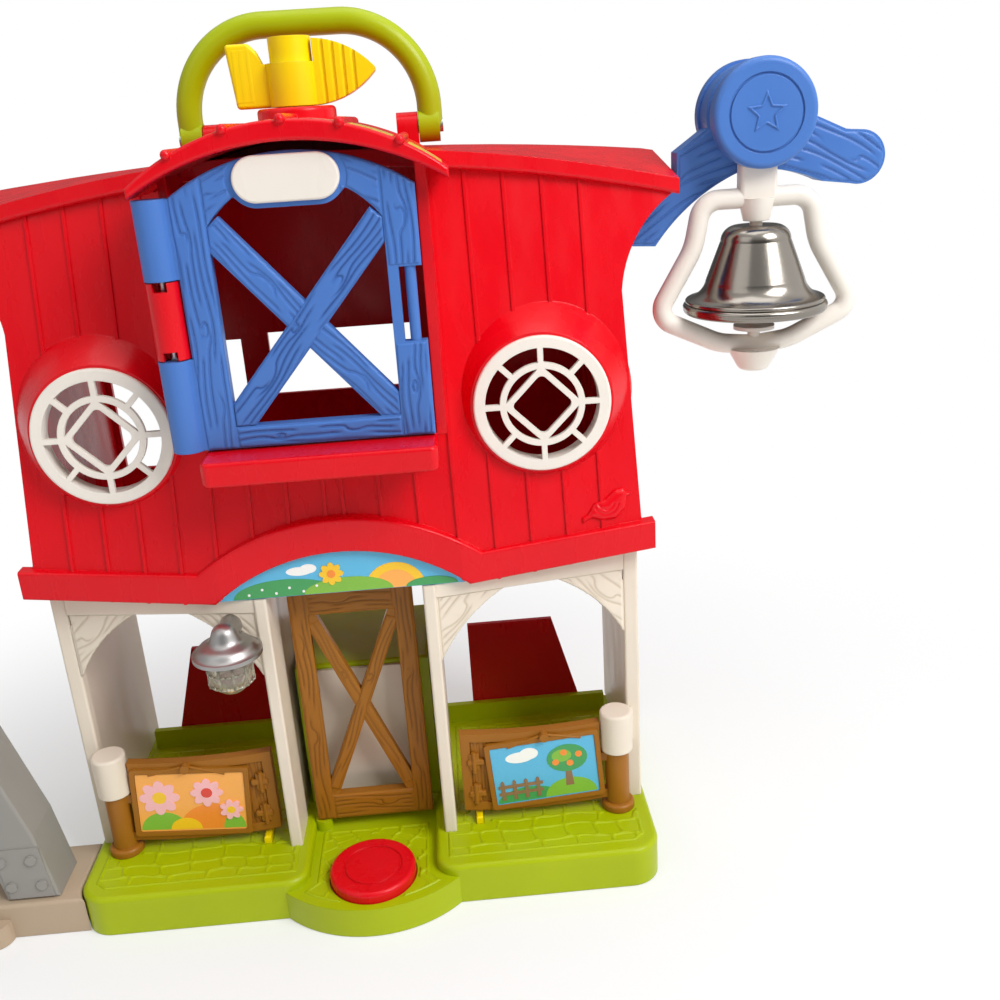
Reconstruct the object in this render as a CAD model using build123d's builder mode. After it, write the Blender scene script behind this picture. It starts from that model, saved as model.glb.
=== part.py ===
"""Toy barn with opening doors: a moulded two-storey barn on a base, with gates, doors, a bell and a vane.

Millimetres. +X is the barn's right, +Y goes into the barn from its front, +Z is up.
The origin is on the floor, in the middle of the straight front edge of the base.
"""

import math
import os

from build123d import *

os.makedirs("parts", exist_ok=True)

# ---------------------------------------------------------------- driving dimensions
shell = 2.4  # wall of every moulded shell
running = 0.08  # radial clearance of a pin that turns in its hole
seat_gap = 0.2  # clearance of a cover in its opening
press_gap = 0.02  # radial clearance of a pin that is held

# base
base_half_width = 118.0
base_depth = 126.0
base_height = 17.5  # the two stall platforms
path_height = 12.8  # the path between them, and the round step in front
path_half_width = 26.0
path_back = 50.0
platform_corner = 9.0
base_corner = 12.0
step_half_width = 35.0
step_reach = 14.5
cover_thickness = 2.0
rail_inset = 18.0  # from the back edge
rail_y = base_depth - rail_inset
rail_height = 9.5
rail_thickness = 3.0

# sound button
button_y = 6.5
button_radius = 17.5
button_rise = 4.5
button_travel = 2.5
button_gap = 0.4

# stalls
bend_x = 46.0  # where the flat middle of the front bends back into the wings
post_inner_x = 30.0
post_width = 5.0
post_front_y = 22.5
post_depth = 20.0
post_round = 1.0
stall_inset = 1.7  # from the side of the base
stall_outer_x = base_half_width - stall_inset
stall_slope = 0.16  # how far the stall front steps back per millimetre outwards
stall_top = 136.0
beam_height = 9.8
beam_bottom = stall_top - beam_height
beam_thickness = 4.0
brace_drop = 28.0
brace_reach = 27.0

# lantern
lantern_at = (-45.0, 12.0)
lantern_drop = 4.7  # of its peg, below the beam
lantern_peg_z = beam_bottom - lantern_drop
lantern_peg_radius = 2.0

# gates
gate_inset = 13.0  # of its pivot, from the side of the base
gate_pivot_x = base_half_width - gate_inset
gate_pivot_y = 31.0
gate_post_radius = 5.0
gate_journal_radius = 3.4
gate_latch_gap = 4.0  # between the free end and the inner post
gate_free_x = post_inner_x + post_width + gate_latch_gap
gate_lift = 3.9  # of its lower edge, above the platform
gate_height = 39.1
gate_bottom = base_height + gate_lift
gate_top = gate_bottom + gate_height
gate_thickness = 4.0
gate_cap_radius = 6.8
gate_cap_height = 18.0
gate_cap_rise = 4.0  # above the gate
gate_cap_top = gate_top + gate_cap_rise
gate_cap_bottom = gate_cap_top - gate_cap_height

# barn door
door_half_width = 25.0
door_y = 38.0
door_thickness = 4.5
door_lift = 5.2  # above the path
door_headroom = 8.0  # of the header, over the door
door_bottom = path_height + door_lift
door_top = stall_top - door_headroom
door_stile = 7.5
door_rail = 12.0
door_brace = 5.5
door_pin_radius = 1.8

# sound housing behind the barn door
housing_half_width = 28.5
housing_front = 52.0
housing_inset = 22.0  # from the back of the base
housing_back = base_depth - housing_inset
housing_top = 86.0
cell_radius = 7.15
cell_length = 50.5
cell_pitch = 17.0

# front wall of the loft: it leans back, and its wings step back too
wall_foot_z = 132.0
wall_foot_y = 20.6
wall_lean = 0.16
wing_slope = 0.11
wall_thickness = 2.6
rib_pitch = 14.0
rib_width = 1.3
rib_rise = 0.9
band_front_y = 20.0
band_thickness = 6.0
band_overhang = 4.0
band_half_width = base_half_width + band_overhang
band_climb = 5.5  # of its lower edge, from the arch to its end
band_height = 12.5
arch_half_width = 48.6
arch_apex_z = wall_foot_z + 17.8

# loft door, its hinge and its sill
loft_half_width = 40.5
loft_y = 13.0
loft_thickness = 4.5
sill_top = 194.6
loft_bottom = sill_top + 0.6
loft_side_top = 281.2
loft_apex_z = 294.0
loft_stile = 11.5
loft_rail = 8.0
loft_brace = 10.5
barrel_out = 6.1  # of the hinge axis, beyond the door's edge
barrel_x = -loft_half_width - barrel_out
barrel_y = 15.2
barrel_radius = 5.8
knuckle_bottom = 228.6
knuckle_top = 254.8
hinge_pin_radius = 1.5
sill_half_width = loft_half_width + 0.5
sill_front_y = -1.0
sill_height = 9.0
sill_bottom = sill_top - sill_height

# round windows
window_x = 80.3
window_z = 199.3
window_radius = 25.6
window_hole_radius = 22.6

# roof
roof_overhang = 19.0
roof_half_width = base_half_width + roof_overhang
roof_thickness = 6.0
roof_top_z = 292.5
roof_droop = 20.0
ridge_inset = 26.0  # from the back of the base
ridge_y = base_depth - ridge_inset
ridge_top_z = roof_top_z - 1.5
ridge_droop = 8.0
fascia_y = 40.5
dormer_half_width = 52.0
dormer_front_y = 7.5
dormer_back_y = 80.0
dormer_apex_z = loft_apex_z + 2.8
back_inset = 2.0
back_y = base_depth - back_inset
side_wall_inset = 9.0
side_wall_x = base_half_width - side_wall_inset

# weather vane
vane_y = 58.0
vane_base_radius = 14.0
vane_base_top = dormer_apex_z + 10.5
vane_height = 23.2
vane_top = vane_base_top + vane_height
vane_hub_radius = 9.0
vane_pin_radius = 2.0

# carry handle
handle_y = ridge_y + 3.0
handle_pivot_rise = 7.0
handle_pivot_z = ridge_top_z + handle_pivot_rise
handle_leg_x = 47.5
handle_radius = 4.9
handle_rise = 40.5
handle_pin_radius = 2.6

# bell, its yoke and the arm that carries it
bell_out = 32.3  # beyond the roof's edge
bell_x = roof_half_width + bell_out
bell_pivot_z = 295.0
arm_y = 66.4
arm_thickness = 10.0
arm_root_z = (bell_pivot_z - 45.0, bell_pivot_z - 29.0)
arm_screw_radius = 1.4
arm_screw_at = [(arm_y + arm_thickness / 2 + dy, sum(arm_root_z) / 2) for dy in (-9.0, 9.0)]
yoke_y = 62.0
yoke_radius = 3.8
disc_radius = 19.5
disc_thickness = 6.5
bell_pin_radius = 3.0
bell_rod_radius = 2.4
bell_height = 33.0
bell_hang = 73.5  # of the mouth, below the pivot
bell_mouth_z = bell_pivot_z - bell_hang
bell_top_z = bell_mouth_z + bell_height
bell_mouth_radius = 27.8
bell_wall = 1.6

# side yard with its tower
yard_length = 88.0
yard_left_x = -base_half_width - yard_length
yard_front_y = 4.0
yard_back_y = 40.0
yard_gap = 0.6
yard_height = 15.5
tower_width = 73.0
tower_left_x = yard_left_x + 7.0
tower_right_x = tower_left_x + tower_width
tower_front_y = 7.0
tower_back_y = 28.0
tower_knee_z = 45.0
tower_knee_in = 5.0
tower_top_z = 130.0
tower_top_half = 6.0
tower_leg = 21.0

made = []


def save(part, name):
    """Labels a finished piece and writes it as one STEP file named after its node."""
    part.label = name
    export_step(part, f"parts/{name}.step")
    made.append(name)


def board(low, high, mode=Mode.ADD):
    """A square-cut board between two corners."""
    with Locations(tuple((a + b) / 2 for a, b in zip(low, high))):
        Box(*[b - a for a, b in zip(low, high)], mode=mode)


def rod(x, y, bottom, top, radius, mode=Mode.ADD):
    """An upright round rod."""
    with Locations((x, y, bottom)):
        Cylinder(radius, top - bottom, align=(Align.CENTER, Align.CENTER, Align.MIN), mode=mode)


def front_plane(y):
    """The plane of a front view at depth y: sketch x is X, sketch y is Z."""
    return Plane.XZ.offset(-y)


def side_plane(x):
    """The plane of a side view at x: sketch x is Y, sketch y is Z."""
    return Plane.YZ.offset(x)


def wall_y(x, z):
    """Depth of the front face of the loft wall at a place in the front view."""
    return wall_foot_y + wall_lean * (z - wall_foot_z) + wing_slope * max(0.0, abs(x) - bend_x)


def bent_strip(front_y, slope, half_width, thickness):
    """Plan of a strip that is straight as far as the bend and steps back on both wings."""
    step = slope * (half_width - bend_x)
    front = [(-half_width, front_y + step), (-bend_x, front_y), (bend_x, front_y), (half_width, front_y + step)]
    return front + [(x, y + thickness) for x, y in reversed(front)]


# ---------------------------------------------------------------- base
step_radius = (step_half_width**2 + step_reach**2) / (2 * step_reach)
step_centre_y = step_radius - step_reach
path_ceiling = path_height - shell
platform_ceiling = base_height - shell
key_x = gate_free_x + 6.0
key_y = gate_pivot_y
key_size = (3.0, 9.0)
boss_inset = 10.0
corner_screw_x = base_half_width - boss_inset
corner_screw_y = (14.0, base_depth - 14.0)
middle_screws = [(-40.0, base_depth / 2), (40.0, base_depth - 26.0)]
cover_screws = [(side * corner_screw_x, y) for side in (-1, 1) for y in corner_screw_y] + middle_screws
screw_boss_radius = 3.6
screw_radius = 1.3
door_axis_x = -door_half_width + door_thickness / 2
door_axis_y = door_y + door_thickness / 2
tongue_y = 24.0
tongue_size = (12.0, 4.0)
tongue_z = 5.0

with BuildSketch() as base_plan:
    with BuildSketch() as body_plan:
        with Locations((0, base_depth / 2)):
            Rectangle(2 * base_half_width, base_depth)
        fillet(body_plan.vertices(), base_corner)
    with Locations((0, step_centre_y)):
        Circle(step_radius)

with BuildSketch() as platform_plan:
    with Locations((0, base_depth / 2)):
        Rectangle(2 * base_half_width, base_depth)
    fillet(platform_plan.vertices(), base_corner)
    with BuildSketch(mode=Mode.SUBTRACT):
        with Locations((0, path_back / 2)):
            Rectangle(2 * path_half_width, path_back)
    inner_corners = [v for v in platform_plan.vertices() if v.Y < 1 and abs(v.X) < step_half_width]
    fillet(inner_corners, platform_corner)

with BuildPart() as base_tray:
    add(base_plan.sketch)
    extrude(amount=path_height)
    with BuildSketch(Plane.XY.offset(path_height)):
        add(platform_plan.sketch)
    extrude(amount=base_height - path_height)
    top_face = base_tray.faces().sort_by(Axis.Z)[-1]
    fillet(top_face.edges(), 2.2)
    with BuildSketch():
        offset(base_plan.sketch, amount=-shell)
    extrude(amount=path_ceiling, mode=Mode.SUBTRACT)
    with BuildSketch():
        offset(platform_plan.sketch, amount=-shell)
    extrude(amount=platform_ceiling, mode=Mode.SUBTRACT)
    # screw bosses that the cover stands against
    with BuildSketch(Plane.XY.offset(cover_thickness)):
        with Locations(*cover_screws):
            Circle(screw_boss_radius)
    extrude(amount=platform_ceiling - cover_thickness)
    with BuildSketch(Plane.XY.offset(cover_thickness)):
        with Locations(*cover_screws):
            Circle(screw_radius + press_gap)
    extrude(amount=9.0, mode=Mode.SUBTRACT)
    # button hole
    with BuildSketch(Plane.XY.offset(path_ceiling - 1)):
        with Locations((0, button_y)):
            Circle(button_radius + button_gap)
    extrude(amount=shell + 2, mode=Mode.SUBTRACT)
    # slots of the two gate keys
    with BuildSketch(Plane.XY.offset(platform_ceiling - 1)):
        with Locations((-key_x, key_y), (key_x, key_y)):
            Rectangle(key_size[0] + 2 * seat_gap, key_size[1] + 2 * seat_gap)
    extrude(amount=shell + 2, mode=Mode.SUBTRACT)
    # sockets of the gate feet
    with BuildSketch(Plane.XY.offset(platform_ceiling - 1)):
        with Locations((-gate_pivot_x, gate_pivot_y), (gate_pivot_x, gate_pivot_y)):
            Circle(gate_journal_radius + running)
    extrude(amount=shell + 2, mode=Mode.SUBTRACT)
    # boss under the barn door's lower pivot
    with BuildSketch(Plane.XY.offset(path_height)):
        with Locations((door_axis_x, door_axis_y)):
            Circle(2 * door_pin_radius)
    extrude(amount=door_bottom - path_height - seat_gap)
    with BuildSketch(Plane.XY.offset(path_height)):
        with Locations((door_axis_x, door_axis_y)):
            Circle(door_pin_radius + running)
    extrude(amount=door_bottom - path_height, mode=Mode.SUBTRACT)
    # rail across the back of the stalls
    with BuildSketch(Plane.XY.offset(base_height)):
        with Locations((0, rail_y + rail_thickness / 2)):
            Rectangle(2 * (base_half_width - 7), rail_thickness)
    extrude(amount=rail_height)
    # slot in the skirt for the side yard's tongue
    with BuildSketch(side_plane(-base_half_width - 1)):
        with Locations((tongue_y, tongue_z)):
            Rectangle(tongue_size[0] + 2 * seat_gap, tongue_size[1] + 2 * seat_gap)
    extrude(amount=shell + 2, mode=Mode.SUBTRACT)
save(base_tray.part, "base_tray")

speaker_at = (base_half_width - 56.0, base_depth / 2 - 1.0)
speaker_radius = 19.0
with BuildPart() as base_cover:
    with BuildSketch():
        offset(base_plan.sketch, amount=-shell - seat_gap)
    extrude(amount=cover_thickness)
    with BuildSketch():
        with Locations(*cover_screws):
            Circle(screw_radius + 0.2)
        with Locations(speaker_at):
            with GridLocations(0, 5.0, 1, 5):
                SlotOverall(24, 2.0)
    extrude(amount=cover_thickness, mode=Mode.SUBTRACT)
    with Locations(*[(x, y, 0.8) for x, y in cover_screws]):
        Cone(3.0, 1.4, 1.6, mode=Mode.SUBTRACT)
save(base_cover.part, "base_cover")

with BuildPart() as base_screws:
    with Locations(*[(x, y, 0.75) for x, y in cover_screws]):
        Cone(2.8, 1.3, 1.5)
    with BuildSketch(Plane.XY.offset(1.4)):
        with Locations(*cover_screws):
            Circle(screw_radius)
    extrude(amount=8.0)
save(base_screws.part, "base_screws")

with BuildPart() as speaker:
    with Locations((*speaker_at, cover_thickness)):
        Cylinder(speaker_radius, 2.0, align=(Align.CENTER, Align.CENTER, Align.MIN))
    with Locations((*speaker_at, cover_thickness + 2)):
        Cone(speaker_radius - 2, 9, 5, align=(Align.CENTER, Align.CENTER, Align.MIN))
    with Locations((*speaker_at, cover_thickness + 7)):
        Cylinder(9, 4.5, align=(Align.CENTER, Align.CENTER, Align.MIN))
save(speaker.part, "speaker")

# ---------------------------------------------------------------- sound button
button_flange = 1.8
button_lip = 0.8
button_bottom = path_ceiling - button_flange - 0.2
button_top = path_height + button_rise
board_thickness = 1.0
dome_height = 0.8
stem_radius = 3.0
stem_bottom = cover_thickness + board_thickness + dome_height + button_travel + 0.1

with BuildPart() as button:
    with Locations((0, button_y, button_bottom)):
        Cylinder(button_radius, button_top - button_bottom, align=(Align.CENTER, Align.CENTER, Align.MIN))
    fillet(button.faces().sort_by(Axis.Z)[-1].edges(), 1.8)
    with Locations((0, button_y, button_bottom)):
        Cylinder(button_radius + button_lip, button_flange, align=(Align.CENTER, Align.CENTER, Align.MIN))
    with Locations((0, button_y, stem_bottom)):
        Cylinder(stem_radius, button_bottom - stem_bottom, align=(Align.CENTER, Align.CENTER, Align.MIN))
    # shallow ring pressed into the top
    with BuildSketch(Plane.XY.offset(button_top)):
        with Locations((0, button_y)):
            Circle(12.0)
            Circle(11.0, mode=Mode.SUBTRACT)
    extrude(amount=-0.5, mode=Mode.SUBTRACT)
save(button.part, "button")

with BuildPart() as button_switch:
    with Locations((0, button_y, cover_thickness)):
        Box(24, 24, board_thickness, align=(Align.CENTER, Align.CENTER, Align.MIN))
    with Locations((0, button_y, cover_thickness + board_thickness)):
        Cylinder(4.0, dome_height, align=(Align.CENTER, Align.CENTER, Align.MIN))
save(button_switch.part, "button_switch")

spring_wire = 0.4
spring_radius = 6.0
spring_turns = 3
spring_base = cover_thickness + board_thickness
spring_height = button_bottom - spring_base - 2 * spring_wire - 0.1
with BuildPart() as button_spring:
    with BuildLine(Plane.XY.offset(spring_base + spring_wire + 0.05)) as coil:
        Helix(spring_height / spring_turns, spring_height, spring_radius, center=(0, button_y, 0))
    with BuildSketch(Plane(coil.line @ 0, z_dir=coil.line % 0)):
        Circle(spring_wire)
    sweep(path=coil.line)
save(button_spring.part, "button_spring")

# yellow keys that the gates run over
key_top = base_height + 3.0
key_bottom = cover_thickness + 4.0


def make_key(x, name):
    """A gate key: a narrow cap through its slot, a stop flange under the floor and a foot."""
    with BuildPart() as key:
        with Locations((x, key_y, key_bottom)):
            Box(*key_size, key_top - key_bottom, align=(Align.CENTER, Align.CENTER, Align.MIN))
        fillet(key.faces().sort_by(Axis.Z)[-1].edges(), 0.9)
        with Locations((x, key_y, platform_ceiling - 0.2 - 1.5)):
            Box(key_size[0] + 3, key_size[1] + 2, 1.5, align=(Align.CENTER, Align.CENTER, Align.MIN))
    save(key.part, name)


make_key(key_x, "gate_key_right")
make_key(-key_x, "gate_key_left")

# ---------------------------------------------------------------- stalls


def stall_front(x):
    """Depth of the stall front at a distance x from the middle."""
    return post_front_y + stall_slope * (x - post_inner_x)


outer_post_x = stall_outer_x - post_width - 1
cap_wall = gate_cap_radius - gate_journal_radius
cap_round = 1.2

with BuildPart() as brace_strip:
    with BuildSketch(Plane.XY.offset(beam_bottom - brace_drop)):
        inner = post_inner_x + post_width
        Polygon(
            (inner, stall_front(inner) + 0.8),
            (outer_post_x, stall_front(outer_post_x) + 0.8),
            (outer_post_x, stall_front(outer_post_x) + beam_thickness),
            (inner, stall_front(inner) + beam_thickness),
            align=None,
        )
    extrude(amount=brace_drop)
    with BuildSketch(front_plane(0)):
        left, right = post_inner_x + post_width, outer_post_x
        top, low = beam_bottom, beam_bottom - brace_drop
        for corner, inward in ((left, 1), (right, -1)):
            with BuildLine():
                tip = (corner + inward * brace_reach, top)
                knee = (corner, low)
                middle = (corner + inward * brace_reach * 0.42, top - brace_drop * 0.42)
                ThreePointArc(tip, middle, knee)
                Polyline(knee, (corner, top), tip)
            make_face()
        # the outer brace leaves a small gap in its corner
        Polygon((right, top), (right - 5, top), (right, top - 5), align=None, mode=Mode.SUBTRACT)
    extrude(amount=-base_depth, mode=Mode.INTERSECT)

with BuildPart() as band_room:
    behind_band = band_front_y + band_thickness + seat_gap
    with BuildSketch(Plane.XY.offset(wall_foot_z - seat_gap)):
        Polygon(
            (0, 0),
            (band_half_width, 0),
            (band_half_width, behind_band + wing_slope * (band_half_width - bend_x)),
            (bend_x, behind_band),
            (0, behind_band),
            align=None,
        )
    extrude(amount=stall_top)
    with BuildSketch(front_plane(0)):
        Polygon(
            (0, wall_foot_z - seat_gap),
            (arch_half_width, wall_foot_z - seat_gap),
            (band_half_width, wall_foot_z + band_climb - seat_gap),
            (band_half_width, wall_foot_z + stall_top),
            (0, wall_foot_z + stall_top),
            align=None,
        )
    extrude(amount=-base_depth, mode=Mode.INTERSECT)

with BuildPart() as gate_cap:
    rod(gate_pivot_x, gate_pivot_y, gate_cap_bottom, gate_cap_top, gate_cap_radius)
    fillet(gate_cap.faces().sort_by(Axis.Z)[-1].edges(), cap_round)

with BuildPart() as stall_right:
    inner, outer = post_inner_x + post_width, stall_outer_x
    with BuildSketch(Plane.XY.offset(base_height)):
        # inner post, partition, outer post and side wall
        with Locations((post_inner_x, post_front_y)):
            Rectangle(post_width, post_depth, align=(Align.MIN, Align.MIN))
        with Locations((post_inner_x + 1, post_front_y + post_depth)):
            Rectangle(shell, rail_y - post_front_y - post_depth, align=(Align.MIN, Align.MIN))
        with Locations((outer_post_x, stall_front(outer))):
            Rectangle(outer - outer_post_x, post_width, align=(Align.MIN, Align.MIN))
        with Locations((outer, stall_front(outer) + post_width)):
            Rectangle(shell, back_y - stall_front(outer) - post_width, align=(Align.MAX, Align.MIN))
    extrude(amount=stall_top - base_height)
    corners = stall_right.edges().filter_by(Axis.Z)
    for face_y in (post_front_y, stall_front(outer)):
        fillet(corners.filter_by(lambda e: abs(e.center().Y - face_y) < 0.1), post_round)
    with BuildSketch(Plane.XY.offset(beam_bottom)):
        Polygon(
            (inner, stall_front(inner)),
            (outer_post_x, stall_front(outer_post_x)),
            (outer_post_x, stall_front(outer_post_x) + beam_thickness),
            (inner, stall_front(inner) + beam_thickness),
            align=None,
        )
    extrude(amount=stall_top - beam_bottom)
    add(brace_strip.part)
    # bearing cap of the gate, on a web from the outer post
    add(gate_cap.part)
    with BuildSketch(Plane.XY.offset(gate_cap_bottom)):
        with Locations(((gate_pivot_x + outer_post_x) / 2 + 2.0, (gate_pivot_y + stall_front(outer)) / 2 + 2.0)):
            Rectangle(7, 4, rotation=45)
    extrude(amount=gate_cap_height - 2 * cap_round)
    with BuildSketch(Plane.XY.offset(gate_cap_bottom)):
        with Locations((gate_pivot_x, gate_pivot_y)):
            Circle(gate_journal_radius + running)
    extrude(amount=gate_cap_top - gate_cap_bottom - cap_wall, mode=Mode.SUBTRACT)
    # the stall's top stays under the eaves band, which climbs outwards
    add(band_room.part, mode=Mode.SUBTRACT)
save(stall_right.part, "stall_frame_right")

with BuildPart() as stall_left:
    add(mirror(stall_right.part, about=Plane.YZ))
    # socket of the lantern's peg in the inner brace
    with BuildSketch(front_plane(0)):
        with Locations((lantern_at[0], lantern_peg_z)):
            Circle(lantern_peg_radius + press_gap)
    extrude(amount=-stall_front(outer), mode=Mode.SUBTRACT)
save(stall_left.part, "stall_frame_left")

# maroon back panels of the stalls, behind the rail
panel_inner_x = 46.0
panel_outer_x = stall_outer_x - 15.3
panel_top_x = panel_outer_x - 14.0
panel_top_z = base_height + 51.5
for side, name in ((1, "stall_panel_right"), (-1, "stall_panel_left")):
    with BuildPart() as stall_panel:
        with BuildSketch(front_plane(rail_y + rail_thickness)):
            Polygon(
                (side * panel_inner_x, base_height),
                (side * panel_outer_x, base_height),
                (side * panel_top_x, panel_top_z),
                (side * panel_inner_x, panel_top_z),
                align=None,
            )
        extrude(amount=-shell)
    save(stall_panel.part, name)

# ---------------------------------------------------------------- sound housing
housing_wall = 2.0
hatch_thickness = 2.2
cell_y = housing_back - hatch_thickness - cell_radius - 2.5
cell_z = [base_height + housing_wall + 10 + i * cell_pitch for i in range(3)]
housing_mid = (housing_front + housing_back) / 2
with BuildPart() as housing:
    with Locations((0, housing_mid, base_height)):
        Box(
            2 * housing_half_width,
            housing_back - housing_front,
            housing_top - base_height,
            align=(Align.CENTER, Align.CENTER, Align.MIN),
        )
    fillet(housing.faces().sort_by(Axis.Z)[-1].edges(), 1.5)
    with BuildSketch(front_plane(housing_back)):
        with Locations((0, (base_height + housing_top) / 2)):
            Rectangle(2 * (housing_half_width - housing_wall), housing_top - base_height - 2 * housing_wall)
    extrude(amount=housing_back - housing_front - housing_wall, mode=Mode.SUBTRACT)
    with BuildSketch(front_plane(housing_front + housing_wall)):
        with Locations((0, (base_height + housing_top) / 2)):
            with GridLocations(36, 44, 2, 2):
                Circle(2.2)
    extrude(amount=-2.0)
save(housing.part, "sound_housing")

with BuildPart() as housing_panel:
    with BuildSketch(front_plane(housing_front - 1.5)):
        with Locations((0, (base_height + housing_top) / 2)):
            RectangleRounded(44, housing_top - base_height - 4, 4)
    extrude(amount=-1.5)
save(housing_panel.part, "housing_panel")

with BuildPart() as circuit_board:
    with BuildSketch(front_plane(housing_front + housing_wall + 2)):
        with Locations((0, (base_height + housing_top) / 2)):
            Rectangle(44, 52)
    extrude(amount=-1.6)
    with BuildSketch(front_plane(housing_front + housing_wall + 3.6)):
        with Locations((0, 55), (-12, 38), (12, 70)):
            Rectangle(10, 8)
    extrude(amount=-2.4)
save(circuit_board.part, "circuit_board")

with BuildPart() as battery_tray:
    with Locations((0, cell_y - 3, base_height + housing_wall)):
        Box(
            2 * (housing_half_width - housing_wall) - 0.4,
            cell_radius * 2 - 2,
            housing_top - base_height - 2 * housing_wall - 0.4,
            align=(Align.CENTER, Align.MAX, Align.MIN),
        )
    with Locations(*[(0, cell_y, z) for z in cell_z]):
        Cylinder(cell_radius + 0.2, 60, rotation=(0, 90, 0), mode=Mode.SUBTRACT)
save(battery_tray.part, "battery_tray")

with BuildPart() as batteries:
    with Locations(*[(0, cell_y, z) for z in cell_z]):
        Cylinder(cell_radius, cell_length - 1.0, rotation=(0, 90, 0))
        Cylinder(2.6, cell_length, rotation=(0, 90, 0))
save(batteries.part, "batteries")

with BuildPart() as battery_contacts:
    contact_x = housing_half_width - housing_wall - 0.3
    for side in (-1, 1):
        with Locations((side * contact_x, cell_y, (cell_z[0] + cell_z[-1]) / 2)):
            Box(0.5, 5.6, cell_z[-1] - cell_z[0] + 8)
        with Locations(*[(side * (contact_x - 0.5), cell_y, z) for z in cell_z]):
            Cylinder(2.5, 0.5, rotation=(0, 90, 0))
save(battery_contacts.part, "battery_contacts")

with BuildPart() as battery_door:
    with BuildSketch(front_plane(housing_back)):
        with Locations((0, (base_height + housing_top) / 2)):
            Rectangle(
                2 * (housing_half_width - housing_wall - seat_gap),
                housing_top - base_height - 2 * (housing_wall + seat_gap),
            )
    extrude(amount=hatch_thickness)
    with BuildSketch(front_plane(housing_back)):
        with Locations((0, housing_top - housing_wall - 6)):
            Circle(1.5)
    extrude(amount=hatch_thickness, mode=Mode.SUBTRACT)
save(battery_door.part, "battery_door")

with BuildPart() as battery_screw:
    with BuildSketch(front_plane(housing_back + 1.0)):
        with Locations((0, housing_top - housing_wall - 6)):
            Circle(2.8)
    extrude(amount=1.0)
    with BuildSketch(front_plane(housing_back)):
        with Locations((0, housing_top - housing_wall - 6)):
            Circle(1.4)
    extrude(amount=5.0)
save(battery_screw.part, "battery_door_screw")

# ---------------------------------------------------------------- gates
gate_rail = 4.0
gate_bow = 1.6
gate_plank = 2.4
gate_foot_radius = 7.0
picture_size = (44.0, 28.0)
picture_middle = (gate_pivot_x - 31.0, gate_bottom + 18.6)
picture_tilt = 4.0
picture_thickness = 0.8
picture_frame = 2.2
gate_near_x = gate_pivot_x - gate_cap_radius - 0.5
gate_front_y = gate_pivot_y - gate_thickness / 2
gate_middle_x = (gate_free_x + gate_near_x) / 2
gate_middle_z = (gate_bottom + gate_top) / 2
cap_ceiling = gate_cap_top - cap_wall

with BuildPart() as gate_right:
    # post with its foot, and the journals that turn in the base and in the cap
    rod(gate_pivot_x, gate_pivot_y, base_height + seat_gap, base_height + 3.4, gate_foot_radius)
    fillet(gate_right.faces().sort_by(Axis.Z)[-1].edges(), 1.4)
    rod(gate_pivot_x, gate_pivot_y, base_height + 1, gate_cap_bottom - seat_gap, gate_post_radius)
    rod(gate_pivot_x, gate_pivot_y, platform_ceiling, cap_ceiling - seat_gap, gate_journal_radius)
    # planks
    with BuildSketch(front_plane(gate_front_y + 1)) as planks:
        with Locations((gate_middle_x, gate_middle_z)):
            Rectangle(gate_near_x - gate_free_x - 2, gate_top - gate_bottom - gate_rail)
    extrude(amount=-gate_plank)
    # arms from the boards to the post, below its cap
    for level in (gate_bottom + gate_bow, gate_cap_bottom - gate_rail - 1.0):
        board(
            (gate_near_x - 2, gate_front_y, level), (gate_pivot_x, gate_front_y + gate_thickness, level + gate_rail)
        )
    # bowed rails and the end stile
    with BuildSketch(front_plane(gate_front_y)):
        for level, bow in ((gate_bottom + gate_bow, -gate_bow), (gate_top - gate_rail, -gate_bow)):
            with BuildLine():
                ThreePointArc((gate_free_x, level), (gate_middle_x, level + bow), (gate_near_x, level))
                Line((gate_near_x, level), (gate_near_x, level + gate_rail))
                ThreePointArc(
                    (gate_near_x, level + gate_rail),
                    (gate_middle_x, level + gate_rail + bow),
                    (gate_free_x, level + gate_rail),
                )
                Line((gate_free_x, level + gate_rail), (gate_free_x, level))
            make_face()
        with Locations((gate_free_x, gate_middle_z)):
            Rectangle(4, gate_top - gate_bottom - 2 * gate_rail, align=(Align.MIN, Align.CENTER))
    extrude(amount=-gate_thickness)
    # raised tray round the picture, and the peg it seems to hang from
    with BuildSketch(front_plane(gate_front_y)):
        with Locations(Location(picture_middle, picture_tilt)):
            RectangleRounded(picture_size[0] + 2 * picture_frame, picture_size[1] + 2 * picture_frame, 1.5)
    extrude(amount=-1.6)
    with BuildSketch(front_plane(gate_front_y)):
        with Locations(Location(picture_middle, picture_tilt)):
            RectangleRounded(picture_size[0] + 2 * picture_frame, picture_size[1] + 2 * picture_frame, 1.5)
            RectangleRounded(picture_size[0] + 0.2, picture_size[1] + 0.2, 0.8, mode=Mode.SUBTRACT)
    extrude(amount=picture_thickness + 0.4)
    with BuildSketch(front_plane(gate_front_y - 3)):
        with Locations((picture_middle[0], gate_top - gate_bow - gate_rail / 2)):
            Circle(1.9)
    extrude(amount=-4)
save(gate_right.part, "gate_right")

with BuildPart() as gate_left:
    add(mirror(gate_right.part, about=Plane.YZ))
save(gate_left.part, "gate_left")

with BuildPart() as gate_picture:
    with BuildSketch(front_plane(gate_front_y)):
        with Locations(Location(picture_middle, picture_tilt)):
            RectangleRounded(*picture_size, 0.8)
    extrude(amount=picture_thickness)
save(gate_picture.part, "gate_picture_right")

with BuildPart() as gate_picture_left:
    add(mirror(gate_picture.part, about=Plane.YZ))
save(gate_picture_left.part, "gate_picture_left")

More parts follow.
